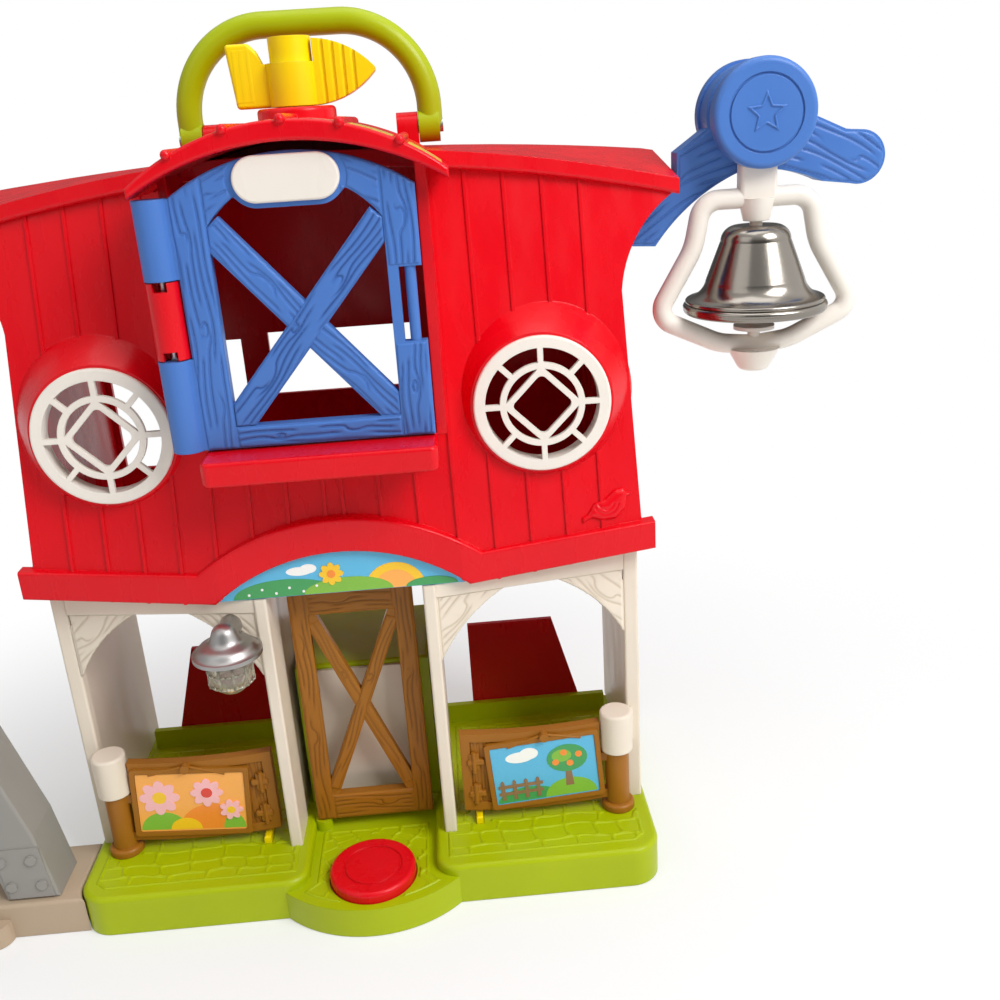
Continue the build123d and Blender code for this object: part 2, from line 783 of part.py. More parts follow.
# ---------------------------------------------------------------- barn door
door_middle_z = (door_bottom + door_top) / 2
header_bottom = door_top + 0.5
header_depth = 6.0
inner_half_width = door_half_width - door_stile
inner_half_height = (door_top - door_bottom) / 2 - door_rail
brace_angle = math.degrees(math.atan2(inner_half_height, inner_half_width))
brace_length = 2 * math.hypot(inner_half_width, inner_half_height)

with BuildPart() as barn_door:
    with BuildSketch(front_plane(door_y)):
        with Locations((0, door_middle_z)):
            Rectangle(2 * door_half_width, door_top - door_bottom)
            Rectangle(2 * inner_half_width, 2 * inner_half_height, mode=Mode.SUBTRACT)
    extrude(amount=-door_thickness)
    fillet(barn_door.faces().sort_by(Axis.Y)[0].edges(), 0.7)
    with BuildSketch(front_plane(door_y + 0.5)):
        with Locations((0, door_middle_z)):
            Rectangle(brace_length, door_brace, rotation=brace_angle)
            Rectangle(brace_length, door_brace, rotation=-brace_angle)
            Rectangle(2 * inner_half_width + 2, 2 * inner_half_height + 2, mode=Mode.INTERSECT)
    extrude(amount=1 - door_thickness)
    # pivots below and above the hinge stile
    rod(door_axis_x, door_axis_y, path_height + 0.3, door_bottom + 1, door_pin_radius)
    rod(door_axis_x, door_axis_y, door_top - 1, header_bottom + 3, door_pin_radius)
save(barn_door.part, "barn_door")

with BuildPart() as door_header:
    board((-post_inner_x, door_y, header_bottom), (post_inner_x, door_y + header_depth, stall_top))
    rod(door_axis_x, door_axis_y, header_bottom, header_bottom + 3.5, door_pin_radius + running, Mode.SUBTRACT)
save(door_header.part, "door_header")

# ---------------------------------------------------------------- lantern
lantern_rim_z = lantern_peg_z - 4.5
lantern_rim_radius = 13.2
lantern_dome_top = lantern_rim_z + 10.8
globe_radius = 8.4
globe_bottom = lantern_rim_z - 17.3
globe_straight = 6.0
lantern_seat_y = stall_front(-lantern_at[0] - 4.2) + 0.8

with BuildPart() as lantern_cap:
    with BuildSketch(side_plane(lantern_at[0])):
        with BuildLine():
            x, z = lantern_at[1], lantern_rim_z
            Line((x, lantern_dome_top), (x, z - 1.6))
            Polyline((x, z - 1.6), (x + lantern_rim_radius, z - 1.6), (x + lantern_rim_radius, z))
            Spline(
                (x + lantern_rim_radius, z),
                (x + 10.2, z + 2.6),
                (x + 6.6, z + 4.2),
                (x + 4.9, z + 7.6),
                (x, lantern_dome_top),
                tangents=[(-1, 0.1), (-1, 0)],
            )
        make_face()
    revolve(axis=Axis((lantern_at[0], lantern_at[1], 0), (0, 0, 1)))
    # boss and peg that plug it into the stall's brace
    with BuildSketch(front_plane(lantern_at[1] + 2)):
        with Locations((lantern_at[0], lantern_peg_z)):
            Circle(4.2)
    extrude(amount=-(lantern_seat_y - lantern_at[1] - 2))
    with BuildSketch(front_plane(lantern_seat_y - 1)):
        with Locations((lantern_at[0], lantern_peg_z)):
            Circle(lantern_peg_radius)
    extrude(amount=-4.5)
save(lantern_cap.part, "lantern_cap")

with BuildPart() as lantern_globe:
    with BuildSketch(side_plane(lantern_at[0])):
        with BuildLine():
            x, top = lantern_at[1], lantern_rim_z - 1.6
            Polyline((x, top - 1), (x, top), (x + globe_radius, top), (x + globe_radius, top - globe_straight))
            ThreePointArc((x + globe_radius, top - globe_straight), (x + 6.9, globe_bottom + 3.5), (x + 3, globe_bottom))
            Line((x + 3, globe_bottom), (x, globe_bottom))
            Line((x, globe_bottom), (x, globe_bottom + 1.4))
            Line((x, globe_bottom + 1.4), (x + 2.6, globe_bottom + 1.4))
            ThreePointArc(
                (x + 2.6, globe_bottom + 1.4), (x + 5.6, globe_bottom + 4.3), (x + globe_radius - 1.4, top - globe_straight)
            )
            Polyline((x + globe_radius - 1.4, top - globe_straight), (x + globe_radius - 1.4, top - 1), (x, top - 1))
        make_face()
    revolve(axis=Axis((lantern_at[0], lantern_at[1], 0), (0, 0, 1)))
save(lantern_globe.part, "lantern_globe")

# ---------------------------------------------------------------- roof
roof_slab_above = 60.0


def roof_section(y, low, high):
    """Section of the roof across the barn at depth y, from `low` to `high` above its top line."""
    along = min(1.0, (y - fascia_y) / (ridge_y - fascia_y))
    middle = roof_top_z + along * (ridge_top_z - roof_top_z)
    droop = roof_droop + along * (ridge_droop - roof_droop)
    half = roof_half_width + 1
    with BuildSketch(front_plane(y)) as section:
        with BuildLine():
            ThreePointArc((-half, middle - droop + high), (0, middle + high), (half, middle - droop + high))
            Line((half, middle - droop + high), (half, middle - droop + low))
            ThreePointArc((half, middle - droop + low), (0, middle + low), (-half, middle - droop + low))
            Line((-half, middle - droop + low), (-half, middle - droop + high))
        make_face()
    return section.sketch


def roof_body(low, high):
    """The roof's curved slab from the fascia to the ridge and on to the back."""
    with BuildPart() as slab:
        loft([roof_section(fascia_y, low, high).face(), roof_section(ridge_y, low, high).face()], ruled=True)
        extrude(roof_section(ridge_y, low, high), amount=-(base_depth - ridge_y))
    return slab.part


above_ceiling = roof_body(-roof_thickness, roof_slab_above)
below_roof = roof_body(-roof_slab_above, 0)

with BuildPart() as bent_front:
    # everything in front of the fascia's bent line
    with BuildSketch():
        reach = roof_half_width + 2
        Polygon(
            (-reach, 0),
            (reach, 0),
            (reach, fascia_y + wing_slope * (reach - bend_x)),
            (bend_x, fascia_y + 0.01),
            (-bend_x, fascia_y + 0.01),
            (-reach, fascia_y + wing_slope * (reach - bend_x)),
            align=None,
        )
    extrude(amount=400)

fascia_round = 1.4
lug_x = (34.0, 42.5)
lug_radius = 5.6
with BuildPart() as roof:
    add(roof_body(-roof_thickness, 0))
    add(bent_front.part, mode=Mode.SUBTRACT)
    with BuildSketch(front_plane(0)):
        with Locations((0, roof_top_z)):
            Rectangle(2 * roof_half_width, 80)
    extrude(amount=-base_depth, mode=Mode.INTERSECT)
    fascia = roof.faces().filter_by(lambda f: f.normal_at().Y < -0.9)
    lower_edges = [face.edges().filter_by(Axis.Z, reverse=True).sort_by(Axis.Z)[0] for face in fascia]
    fillet(lower_edges, fascia_round)
    # lugs that carry the handle
    for side in (-1, 1):
        with BuildSketch(side_plane(side * lug_x[0] if side > 0 else side * lug_x[1])):
            with Locations((handle_y, handle_pivot_z)):
                Circle(lug_radius)
            with Locations((handle_y, handle_pivot_z)):
                Rectangle(2 * lug_radius, handle_pivot_z - ridge_top_z + 4, align=(Align.CENTER, Align.MAX))
        extrude(amount=lug_x[1] - lug_x[0])
    with BuildSketch(side_plane(-lug_x[1])):
        with Locations((handle_y, handle_pivot_z)):
            Circle(handle_pin_radius + press_gap)
    extrude(amount=2 * lug_x[1], mode=Mode.SUBTRACT)
save(roof.part, "roof")

# ---------------------------------------------------------------- dormer roof over the loft door
dormer_tip_low = loft_side_top + 0.8
dormer_tip_high = dormer_tip_low + 3.4
dormer_apex_top = dormer_apex_z + 6.6
batten_radius = 1.7
batten_x = (-37.0, -18.5, 0.0, 18.5, 37.0)


def arch_face(half, side_low, apex_low, side_high, apex_high):
    """Front view of a band between two arcs that share a half width."""
    with BuildSketch() as flat:
        with BuildLine():
            ThreePointArc((-half, side_low), (0, apex_low), (half, side_low))
            Line((half, side_low), (half, side_high))
            ThreePointArc((half, side_high), (0, apex_high), (-half, side_high))
            Line((-half, side_high), (-half, side_low))
        make_face()
    return flat.sketch


def arc_height(x, half, side, apex):
    """Height at x of the arc through (-half, side), (0, apex) and (half, side)."""
    rise = apex - side
    radius = (half**2 + rise**2) / (2 * rise)
    return apex - radius + math.sqrt(radius**2 - x**2)


with BuildPart() as above_dormer:
    with BuildSketch(front_plane(0)):
        add(arch_face(dormer_half_width, dormer_tip_low, dormer_apex_z, dormer_tip_low + 60, dormer_apex_z + 60))
    extrude(amount=-dormer_back_y)

with BuildPart() as dormer:
    with BuildSketch(front_plane(dormer_front_y)):
        add(arch_face(dormer_half_width, dormer_tip_low, dormer_apex_z, dormer_tip_high, dormer_apex_top))
    extrude(amount=-(dormer_back_y - dormer_front_y))
    fillet(dormer.faces().sort_by(Axis.Y)[0].edges(), 1.2)
    # closed back end
    with BuildSketch(front_plane(dormer_back_y - shell)):
        with BuildLine():
            ThreePointArc(
                (-dormer_half_width, dormer_tip_high), (0, dormer_apex_top), (dormer_half_width, dormer_tip_high)
            )
            Line((dormer_half_width, dormer_tip_high), (-dormer_half_width, dormer_tip_high))
        make_face()
    extrude(amount=-shell)
    # battens with round noses
    for x in batten_x:
        nose = (x, dormer_front_y, arc_height(x, dormer_half_width, dormer_tip_high, dormer_apex_top))
        with Locations(nose):
            Sphere(batten_radius)
        with BuildSketch(front_plane(dormer_front_y)):
            with Locations((nose[0], nose[2])):
                Circle(batten_radius)
        extrude(amount=-(dormer_back_y - dormer_front_y))
    # round base of the vane
    rod(0, vane_y, dormer_apex_z, vane_base_top, vane_base_radius)
    fillet(dormer.faces().filter_by(Plane.XY).sort_by(Axis.Z)[-1].edges(), 1.5)
    add(below_roof, mode=Mode.SUBTRACT)
    rod(0, vane_y, dormer_apex_z - 1, vane_base_top + 1, vane_pin_radius + press_gap, Mode.SUBTRACT)
save(dormer.part, "dormer_roof")

# ---------------------------------------------------------------- front wall of the loft
band_slope = 0.1
band_round = 1.0
sill_round = 1.4
band_end_low = wall_foot_z + band_climb
band_end_high = band_end_low + band_height - 1.0
arch_upper_half = arch_half_width + 5.4
arch_upper_foot = wall_foot_z + band_height
arch_upper_apex = arch_apex_z + band_height + 0.7
wall_edge = [(band_half_width - 4.8, 150.0), (band_half_width - 8.2, 236.0)]
wall_flare = [(roof_half_width - 18.4, 252.0), (roof_half_width - 0.5, 270.5)]
cheek_x = (loft_half_width + 0.3, loft_half_width + 4.0)
cheek_front_y = 18.0
hood_front_y = 28.0
hood_depth = 14.0
hood_front_radius = 26.6
hood_back_radius = 36.0
rib_shift = -2.4 / 145


def arch_line():
    """Underside of the eaves band: two sloping wings and the arch between them."""
    Line((band_half_width, band_end_low), (arch_half_width, wall_foot_z))
    ThreePointArc((arch_half_width, wall_foot_z), (0, arch_apex_z), (-arch_half_width, wall_foot_z))
    Line((-arch_half_width, wall_foot_z), (-band_half_width, band_end_low))


with BuildPart() as eaves_band:
    with BuildSketch(Plane.XY.offset(wall_foot_z - 1)):
        Polygon(*bent_strip(band_front_y, band_slope, band_half_width, band_thickness), align=None)
    extrude(amount=arch_upper_apex - wall_foot_z + 2)
    with BuildSketch(front_plane(0)):
        with BuildLine():
            arch_line()
            Line((-band_half_width, band_end_low), (-band_half_width, band_end_high))
            Line((-band_half_width, band_end_high), (-arch_upper_half, arch_upper_foot))
            ThreePointArc(
                (-arch_upper_half, arch_upper_foot), (0, arch_upper_apex), (arch_upper_half, arch_upper_foot)
            )
            Line((arch_upper_half, arch_upper_foot), (band_half_width, band_end_high))
            Line((band_half_width, band_end_high), (band_half_width, band_end_low))
        make_face()
    extrude(amount=-base_depth, mode=Mode.INTERSECT)
    band_faces = eaves_band.faces().filter_by(lambda f: f.normal_at().Y < -0.9)
    band_edges = band_faces.edges().filter_by(Axis.Z, reverse=True)
    fillet(band_edges, band_round)

with BuildPart() as sill:
    board((-sill_half_width, sill_front_y, sill_bottom), (sill_half_width, wall_y(0, sill_top) + shell, sill_top))
    fillet(sill.edges().filter_by(Axis.Z).group_by(Axis.Y)[0], 2 * sill_round)
    sill_rims = sill.faces().filter_by(Plane.XY).edges()
    fillet(sill_rims.filter_by(lambda e: e.center().Y < wall_foot_y), sill_round)

wall_rise = roof_top_z - wall_foot_z
lean_length = math.hypot(1, wall_lean)
with BuildPart() as front_wall:
    with BuildSketch(Plane.XY.offset(wall_foot_z)):
        Polygon(*bent_strip(wall_foot_y, wing_slope, roof_half_width, wall_thickness), align=None)
    extrude(amount=wall_rise * lean_length, dir=(0, wall_lean, 1))
    with BuildSketch(front_plane(0)):
        with BuildLine():
            arch_line()
            for side in (-1, 1):
                foot = (side * band_half_width, band_end_low)
                low, knee = [(side * x, z) for x, z in wall_edge]
                curve, tip = [(side * x, z) for x, z in wall_flare]
                Polyline(foot, low, knee)
                ThreePointArc(knee, curve, tip)
                Line(tip, (tip[0], roof_top_z))
            Line((-wall_flare[1][0], roof_top_z), (wall_flare[1][0], roof_top_z))
        make_face()
    extrude(amount=-base_depth, mode=Mode.INTERSECT)
    # ribs
    for side in (-1, 1):
        with BuildSketch(Plane.XY.offset(wall_foot_z)):
            for i in range(8):
                x = 4 + rib_pitch * i
                y = wall_foot_y + wing_slope * max(0, x - bend_x) - rib_rise
                with Locations((side * x, y)):
                    Rectangle(rib_width, rib_rise + 1, align=(Align.CENTER, Align.MIN))
        rib_dir = Vector(side * rib_shift, wall_lean, 1)
        extrude(amount=wall_rise * rib_dir.length, dir=rib_dir)
    # arch opening under the band, cut clear of the strip's foot
    with BuildSketch(front_plane(0)):
        with BuildLine():
            arch_line()
            Polyline(
                (-band_half_width, band_end_low),
                (-band_half_width, wall_foot_z - 20),
                (band_half_width, wall_foot_z - 20),
                (band_half_width, band_end_low),
            )
        make_face()
    extrude(amount=-base_depth, mode=Mode.SUBTRACT)
    add(eaves_band.part)
    # window hoods
    for side in (-1, 1):
        with Locations((side * window_x, hood_front_y, window_z)):
            Cone(
                hood_front_radius,
                hood_back_radius,
                hood_depth,
                rotation=(-90, 0, 0),
                align=(Align.CENTER, Align.CENTER, Align.MIN),
            )
    for side in (-1, 1):
        with Locations((side * window_x, hood_front_y + shell, window_z)):
            Cone(
                hood_front_radius - shell,
                hood_back_radius - shell,
                hood_depth,
                rotation=(-90, 0, 0),
                align=(Align.CENTER, Align.CENTER, Align.MIN),
                mode=Mode.SUBTRACT,
            )
        with BuildSketch(front_plane(0)):
            with Locations((side * window_x, window_z)):
                Circle(window_hole_radius)
        extrude(amount=-hood_front_y - 8, mode=Mode.SUBTRACT)
    # sill under the loft door, open below
    add(sill.part)
    board(
        (-sill_half_width + shell, sill_front_y + shell, sill_bottom - 1),
        (sill_half_width - shell, wall_y(0, sill_bottom), sill_top - shell),
        Mode.SUBTRACT,
    )
    # cheeks of the dormer
    for side in (-1, 1):
        board(
            (min(side * cheek_x[0], side * cheek_x[1]), cheek_front_y, sill_top - 1),
            (max(side * cheek_x[0], side * cheek_x[1]), wall_y(0, loft_apex_z), dormer_apex_z),
        )
    # doorway of the loft
    board((-cheek_x[0], cheek_front_y - 5, sill_top), (cheek_x[0], base_depth, roof_top_z + 10), Mode.SUBTRACT)
    add(above_ceiling, mode=Mode.SUBTRACT)
    add(above_dormer.part, mode=Mode.SUBTRACT)
    # room for the door's barrels, and the knuckle between them
    barrel_room = barrel_radius + 0.5
    rod(barrel_x, barrel_y, sill_top, knuckle_bottom, barrel_room, Mode.SUBTRACT)
    rod(barrel_x, barrel_y, knuckle_top, dormer_apex_z, barrel_room, Mode.SUBTRACT)
    rod(barrel_x, barrel_y, knuckle_bottom, knuckle_top, barrel_radius)
    for level in (knuckle_bottom, knuckle_top - 3):
        board(
            (barrel_x - 2.4, barrel_y - barrel_radius - 1, level), (barrel_x + 2.4, barrel_y, level + 3), Mode.SUBTRACT
        )
    rod(barrel_x, barrel_y, knuckle_bottom - 1, knuckle_top + 1, hinge_pin_radius + press_gap, Mode.SUBTRACT)
save(front_wall.part, "front_wall")

# ---------------------------------------------------------------- the rest of the loft
floor_front_y = band_front_y + band_thickness + seat_gap
with BuildPart() as loft_floor:
    with BuildSketch(Plane.XY.offset(stall_top)):
        reach = side_wall_x + shell
        step = band_slope * (reach - bend_x)
        Polygon(
            (-reach, floor_front_y + step),
            (-bend_x, floor_front_y),
            (bend_x, floor_front_y),
            (reach, floor_front_y + step),
            (reach, back_y),
            (-reach, back_y),
            align=None,
        )
    extrude(amount=shell)
save(loft_floor.part, "loft_floor")

loft_foot = stall_top + shell
for side, name in ((1, "side_wall_right"), (-1, "side_wall_left")):
    with BuildPart() as side_wall:
        with BuildSketch(side_plane(side * side_wall_x)):
            Polygon(
                (wall_y(side_wall_x, loft_foot) + wall_thickness + 3.5, loft_foot),
                (wall_y(side_wall_x, roof_top_z) + wall_thickness, roof_top_z),
                (back_y, roof_top_z),
                (back_y, loft_foot),
                align=None,
            )
        extrude(amount=-side * shell)
        if side > 0:
            with BuildSketch(side_plane(side_wall_x - shell - 1)):
                with Locations(*arm_screw_at):
                    Circle(arm_screw_radius + press_gap)
            extrude(amount=shell + 2, mode=Mode.SUBTRACT)
        add(above_ceiling, mode=Mode.SUBTRACT)
        add(front_wall.part, mode=Mode.SUBTRACT)
    save(side_wall.part, name)

back_hatch_at = (0.0, 202.0)
back_hatch_size = (64.0, 28.0)
back_bay_at = (-74.0, 186.0)
back_bay_size = (60.0, 56.0)
with BuildPart() as back_wall:
    with BuildSketch(front_plane(back_y - shell)):
        with Locations((0, loft_foot)):
            Rectangle(2 * (side_wall_x - shell), roof_top_z - loft_foot, align=(Align.CENTER, Align.MIN))
        with Locations(back_hatch_at):
            Rectangle(*back_hatch_size, mode=Mode.SUBTRACT)
        with Locations(back_bay_at):
            Rectangle(*back_bay_size, mode=Mode.SUBTRACT)
    extrude(amount=-shell)
    add(above_ceiling, mode=Mode.SUBTRACT)
save(back_wall.part, "back_wall")

with BuildPart() as arch_sign:
    with BuildSketch(front_plane(band_front_y + 3)):
        with BuildLine():
            ThreePointArc((-arch_half_width, wall_foot_z), (0, arch_apex_z), (arch_half_width, wall_foot_z))
            Line((arch_half_width, wall_foot_z), (-arch_half_width, wall_foot_z))
        make_face()
        offset(amount=-seat_gap)
    extrude(amount=-2)
save(arch_sign.part, "arch_sign")

# ---------------------------------------------------------------- windows
window_flange = 1.8
slot_outer = 21.2
slot_inner = 15.8
spoke_width = 2.1
lens_radius = 13.4
lens_half_side = 10.4
pane_half_side = 8.2

for side, name in ((1, "window_right"), (-1, "window_left")):
    with BuildPart() as window:
        with BuildSketch(front_plane(hood_front_y)):
            with Locations((side * window_x, window_z)):
                Circle(window_radius)
                Circle(slot_outer, mode=Mode.SUBTRACT)
                Circle(slot_inner)
                with PolarLocations((slot_inner + slot_outer) / 2, 8, start_angle=0):
                    Rectangle(slot_outer - slot_inner + 1, spoke_width)
                Circle(lens_radius, mode=Mode.SUBTRACT)
                Rectangle(2 * lens_half_side, 2 * lens_half_side, rotation=45)
                RectangleRounded(2 * pane_half_side, 2 * pane_half_side, 2.2, rotation=45, mode=Mode.SUBTRACT)
        extrude(amount=window_flange)
        fillet(window.faces().sort_by(Axis.Y)[0].outer_wire().edges(), 0.8)
        with BuildSketch(front_plane(hood_front_y)):
            with Locations((side * window_x, window_z)):
                Circle(window_hole_radius - seat_gap)
                Circle(slot_outer, mode=Mode.SUBTRACT)
        extrude(amount=-5)
    save(window.part, name)

# ---------------------------------------------------------------- loft door
door_inner_half = loft_half_width - loft_stile
door_inner_bottom = loft_bottom + loft_rail
loft_inner_side = loft_side_top - loft_rail - 2
loft_inner_apex = loft_apex_z - loft_rail
barrel_top = dormer_tip_low - 0.6
pull_z = (229.0, 254.5)
pull_x = loft_half_width - 4.0
pull_radius = 1.9
plaque_size = (35.0, 15.0)
plaque_at = (-1.0, 285.5)
plaque_thickness = 2.0
plaque_rim = 1.6
plaque_inset = 1.0
loft_brace_middle = (loft_inner_side + door_inner_bottom) / 2
loft_brace_climb = loft_inner_side - door_inner_bottom
loft_brace_angle = math.degrees(math.atan2(loft_brace_climb, 2 * door_inner_half))
loft_brace_length = math.hypot(loft_brace_climb, 2 * door_inner_half)
hinge_pin_reach = 9.0


def arched_panel(half, bottom, side, apex):
    """Front view of a panel with square feet and an arched top."""
    with BuildSketch() as flat:
        with BuildLine():
            Polyline((-half, side), (-half, bottom), (half, bottom), (half, side))
            ThreePointArc((half, side), (0, apex), (-half, side))
        make_face()
    return flat.sketch


with BuildPart() as loft_door:
    with BuildSketch(front_plane(loft_y)):
        add(arched_panel(loft_half_width, loft_bottom, loft_side_top, loft_apex_z))
        add(
            arched_panel(door_inner_half, door_inner_bottom, loft_inner_side, loft_inner_apex),
            mode=Mode.SUBTRACT,
        )
    extrude(amount=-loft_thickness)
    fillet(loft_door.faces().sort_by(Axis.Y)[0].outer_wire().edges(), 0.8)
    with BuildSketch(front_plane(loft_y + 0.4)):
        with Locations((0, loft_brace_middle)):
            Rectangle(loft_brace_length, loft_brace, rotation=loft_brace_angle)
            Rectangle(loft_brace_length, loft_brace, rotation=-loft_brace_angle)
        add(
            arched_panel(door_inner_half + 1, door_inner_bottom - 1, loft_inner_side, loft_inner_apex),
            mode=Mode.INTERSECT,
        )
    extrude(amount=0.8 - loft_thickness)
    # boss behind the plaque
    with BuildSketch(front_plane(loft_y)):
        with Locations(plaque_at):
            SlotOverall(plaque_size[0] + 2 * plaque_rim, plaque_size[1] + 2 * plaque_rim)
        add(
            arched_panel(loft_half_width - plaque_inset, loft_bottom, loft_side_top, loft_apex_z - plaque_inset),
            mode=Mode.INTERSECT,
        )
    extrude(amount=-loft_thickness)
    # pull: a notch in the free stile with an upright bar across it
    notch_x = pull_x - 2 * pull_radius
    board(
        (notch_x, loft_y - 1, pull_z[0]), (loft_half_width + 1, loft_y + loft_thickness + 1, pull_z[1]), Mode.SUBTRACT
    )
    rod(pull_x, loft_y + pull_radius + 0.4, pull_z[0] - 1, pull_z[1] + 1, pull_radius)
    # hinge barrels and the webs that join them to the stile
    for low, high in ((loft_bottom + 0.4, knuckle_bottom - 0.4), (knuckle_top + 0.4, barrel_top)):
        rod(barrel_x, barrel_y, low, high, barrel_radius)
        board((barrel_x, loft_y, low), (-loft_half_width + 1, loft_y + loft_thickness, min(high, loft_side_top)))
    rod(barrel_x, barrel_y, knuckle_bottom - hinge_pin_reach, knuckle_bottom, hinge_pin_radius + running, Mode.SUBTRACT)
    rod(barrel_x, barrel_y, knuckle_top, knuckle_top + hinge_pin_reach, hinge_pin_radius + running, Mode.SUBTRACT)
save(loft_door.part, "loft_door")

with BuildPart() as hinge_pin:
    pin_low, pin_high = knuckle_bottom - hinge_pin_reach + 0.5, knuckle_top + hinge_pin_reach - 0.5
    rod(barrel_x, barrel_y, pin_low, pin_high, hinge_pin_radius)
save(hinge_pin.part, "loft_hinge_pin")

with BuildPart() as plaque:
    with BuildSketch(front_plane(loft_y)):
        with Locations(plaque_at):
            SlotOverall(plaque_size[0], plaque_size[1])
    extrude(amount=plaque_thickness)
    fillet(plaque.faces().sort_by(Axis.Y)[0].edges(), 0.9)
save(plaque.part, "loft_door_plaque")

# ---------------------------------------------------------------- weather vane
vane_bottom = vane_base_top + 0.3
vane_hub_top = vane_top - 8.5
vane_cap_radius = 7.4
vane_tail_x = -22.5
vane_tip_x = 28.5
vane_tail_thickness = 5.0
vane_head_radius = 8.0
vane_round = 1.2
axle_top = vane_top - 6.0

with BuildPart() as vane_axle:
    rod(0, vane_y, dormer_apex_z - 0.5, axle_top, vane_pin_radius)
save(vane_axle.part, "vane_axle")

with BuildPart() as vane:
    rod(0, vane_y, vane_bottom, vane_hub_top, vane_hub_radius)
    rod(0, vane_y, vane_hub_top, vane_top, vane_cap_radius)
    # tail: a tall fin that drops to the hub's height
    with BuildSketch(front_plane(vane_y - vane_tail_thickness / 2)):
        with BuildLine():
            fin_x = vane_tail_x + 10.5
            Polyline((0, vane_bottom), (vane_tail_x + 2, vane_bottom), (vane_tail_x, vane_top - 1.5))
            Line((vane_tail_x, vane_top - 1.5), (fin_x - 2.5, vane_top - 1.5))
            Polyline((fin_x - 2.5, vane_top - 1.5), (fin_x, vane_top - 4), (fin_x + 2, vane_hub_top), (0, vane_hub_top))
            Line((0, vane_hub_top), (0, vane_bottom))
        make_face()
    extrude(amount=-vane_tail_thickness)
    fin_edges = vane.edges().filter_by(lambda e: e.center().X < fin_x + 0.5)
    fillet(fin_edges, vane_round)
    # head: a blunt arrow point, pressed with upright flutes
    head_middle = (vane_bottom + vane_top - 1) / 2
    head_base_x = vane_hub_radius - 1.0
    with BuildSketch(front_plane(vane_y - vane_head_radius / 2)):
        with BuildLine():
            half = (vane_top - 1 - vane_bottom) / 2
            Line((head_base_x, head_middle - half), (head_base_x, head_middle + half))
            ThreePointArc(
                (head_base_x, head_middle + half),
                (head_base_x + 13.0, head_middle + half * 0.66),
                (vane_tip_x, head_middle + 1.5),
            )
            ThreePointArc(
                (vane_tip_x, head_middle + 1.5), (vane_tip_x + 0.8, head_middle), (vane_tip_x, head_middle - 1.5)
            )
            ThreePointArc(
                (vane_tip_x, head_middle - 1.5),
                (head_base_x + 13.0, head_middle - half * 0.66),
                (head_base_x, head_middle - half),
            )
        make_face()
    extrude(amount=-vane_head_radius)
    for i in range(4):
        x = head_base_x + 3.2 + 3.6 * i
        for y in (vane_y - vane_head_radius / 2, vane_y + vane_head_radius / 2):
            rod(x, y, vane_bottom - 1, vane_top + 1, 0.8, Mode.SUBTRACT)
    rod(0, vane_y, vane_bottom - 1, axle_top + 0.3, vane_pin_radius + running, Mode.SUBTRACT)
save(vane.part, "weather_vane")

# ---------------------------------------------------------------- carry handle
handle_top_z = handle_pivot_z + handle_rise
handle_bend = 33.0
eye_radius = 6.2
eye_half = 4.2
handle_eye_x = lug_x[1] + seat_gap + eye_half

with BuildPart() as handle:
    with BuildLine() as handle_path:
        FilletPolyline(
            (-handle_leg_x, handle_y, handle_pivot_z),
            (-handle_leg_x, handle_y, handle_top_z),
            (handle_leg_x, handle_y, handle_top_z),
            (handle_leg_x, handle_y, handle_pivot_z),
            radius=handle_bend,
        )
    with BuildSketch(Plane(handle_path.line @ 0, z_dir=handle_path.line % 0)):
        Circle(handle_radius)
    sweep()
    for side in (-1, 1):
        with BuildSketch(side_plane(side * handle_eye_x - eye_half)):
            with Locations((handle_y, handle_pivot_z)):
                Circle(eye_radius)
        extrude(amount=2 * eye_half)
    with BuildSketch(side_plane(-handle_leg_x - 10)):
        with Locations((handle_y, handle_pivot_z)):
            Circle(handle_pin_radius + running)
    extrude(amount=2 * handle_leg_x + 20, mode=Mode.SUBTRACT)
save(handle.part, "handle")

with BuildPart() as handle_pins:
    for side in (-1, 1):
        with BuildSketch(side_plane(side * 44.0 - 8.5)):
            with Locations((handle_y, handle_pivot_z)):
                Circle(handle_pin_radius)
        extrude(amount=17)
save(handle_pins.part, "handle_pins")

# ---------------------------------------------------------------- bell arm
arm_root_x = side_wall_x
arm_step_x = roof_half_width + 2.5
arm_foot_thickness = 3.0
arm_round = 8.0
arm_foot_half = 13.0
knob_at = (bell_x + 41.1, bell_pivot_z - 18.2)
knob_radius = 10.0
screw_head_radius = 2.8

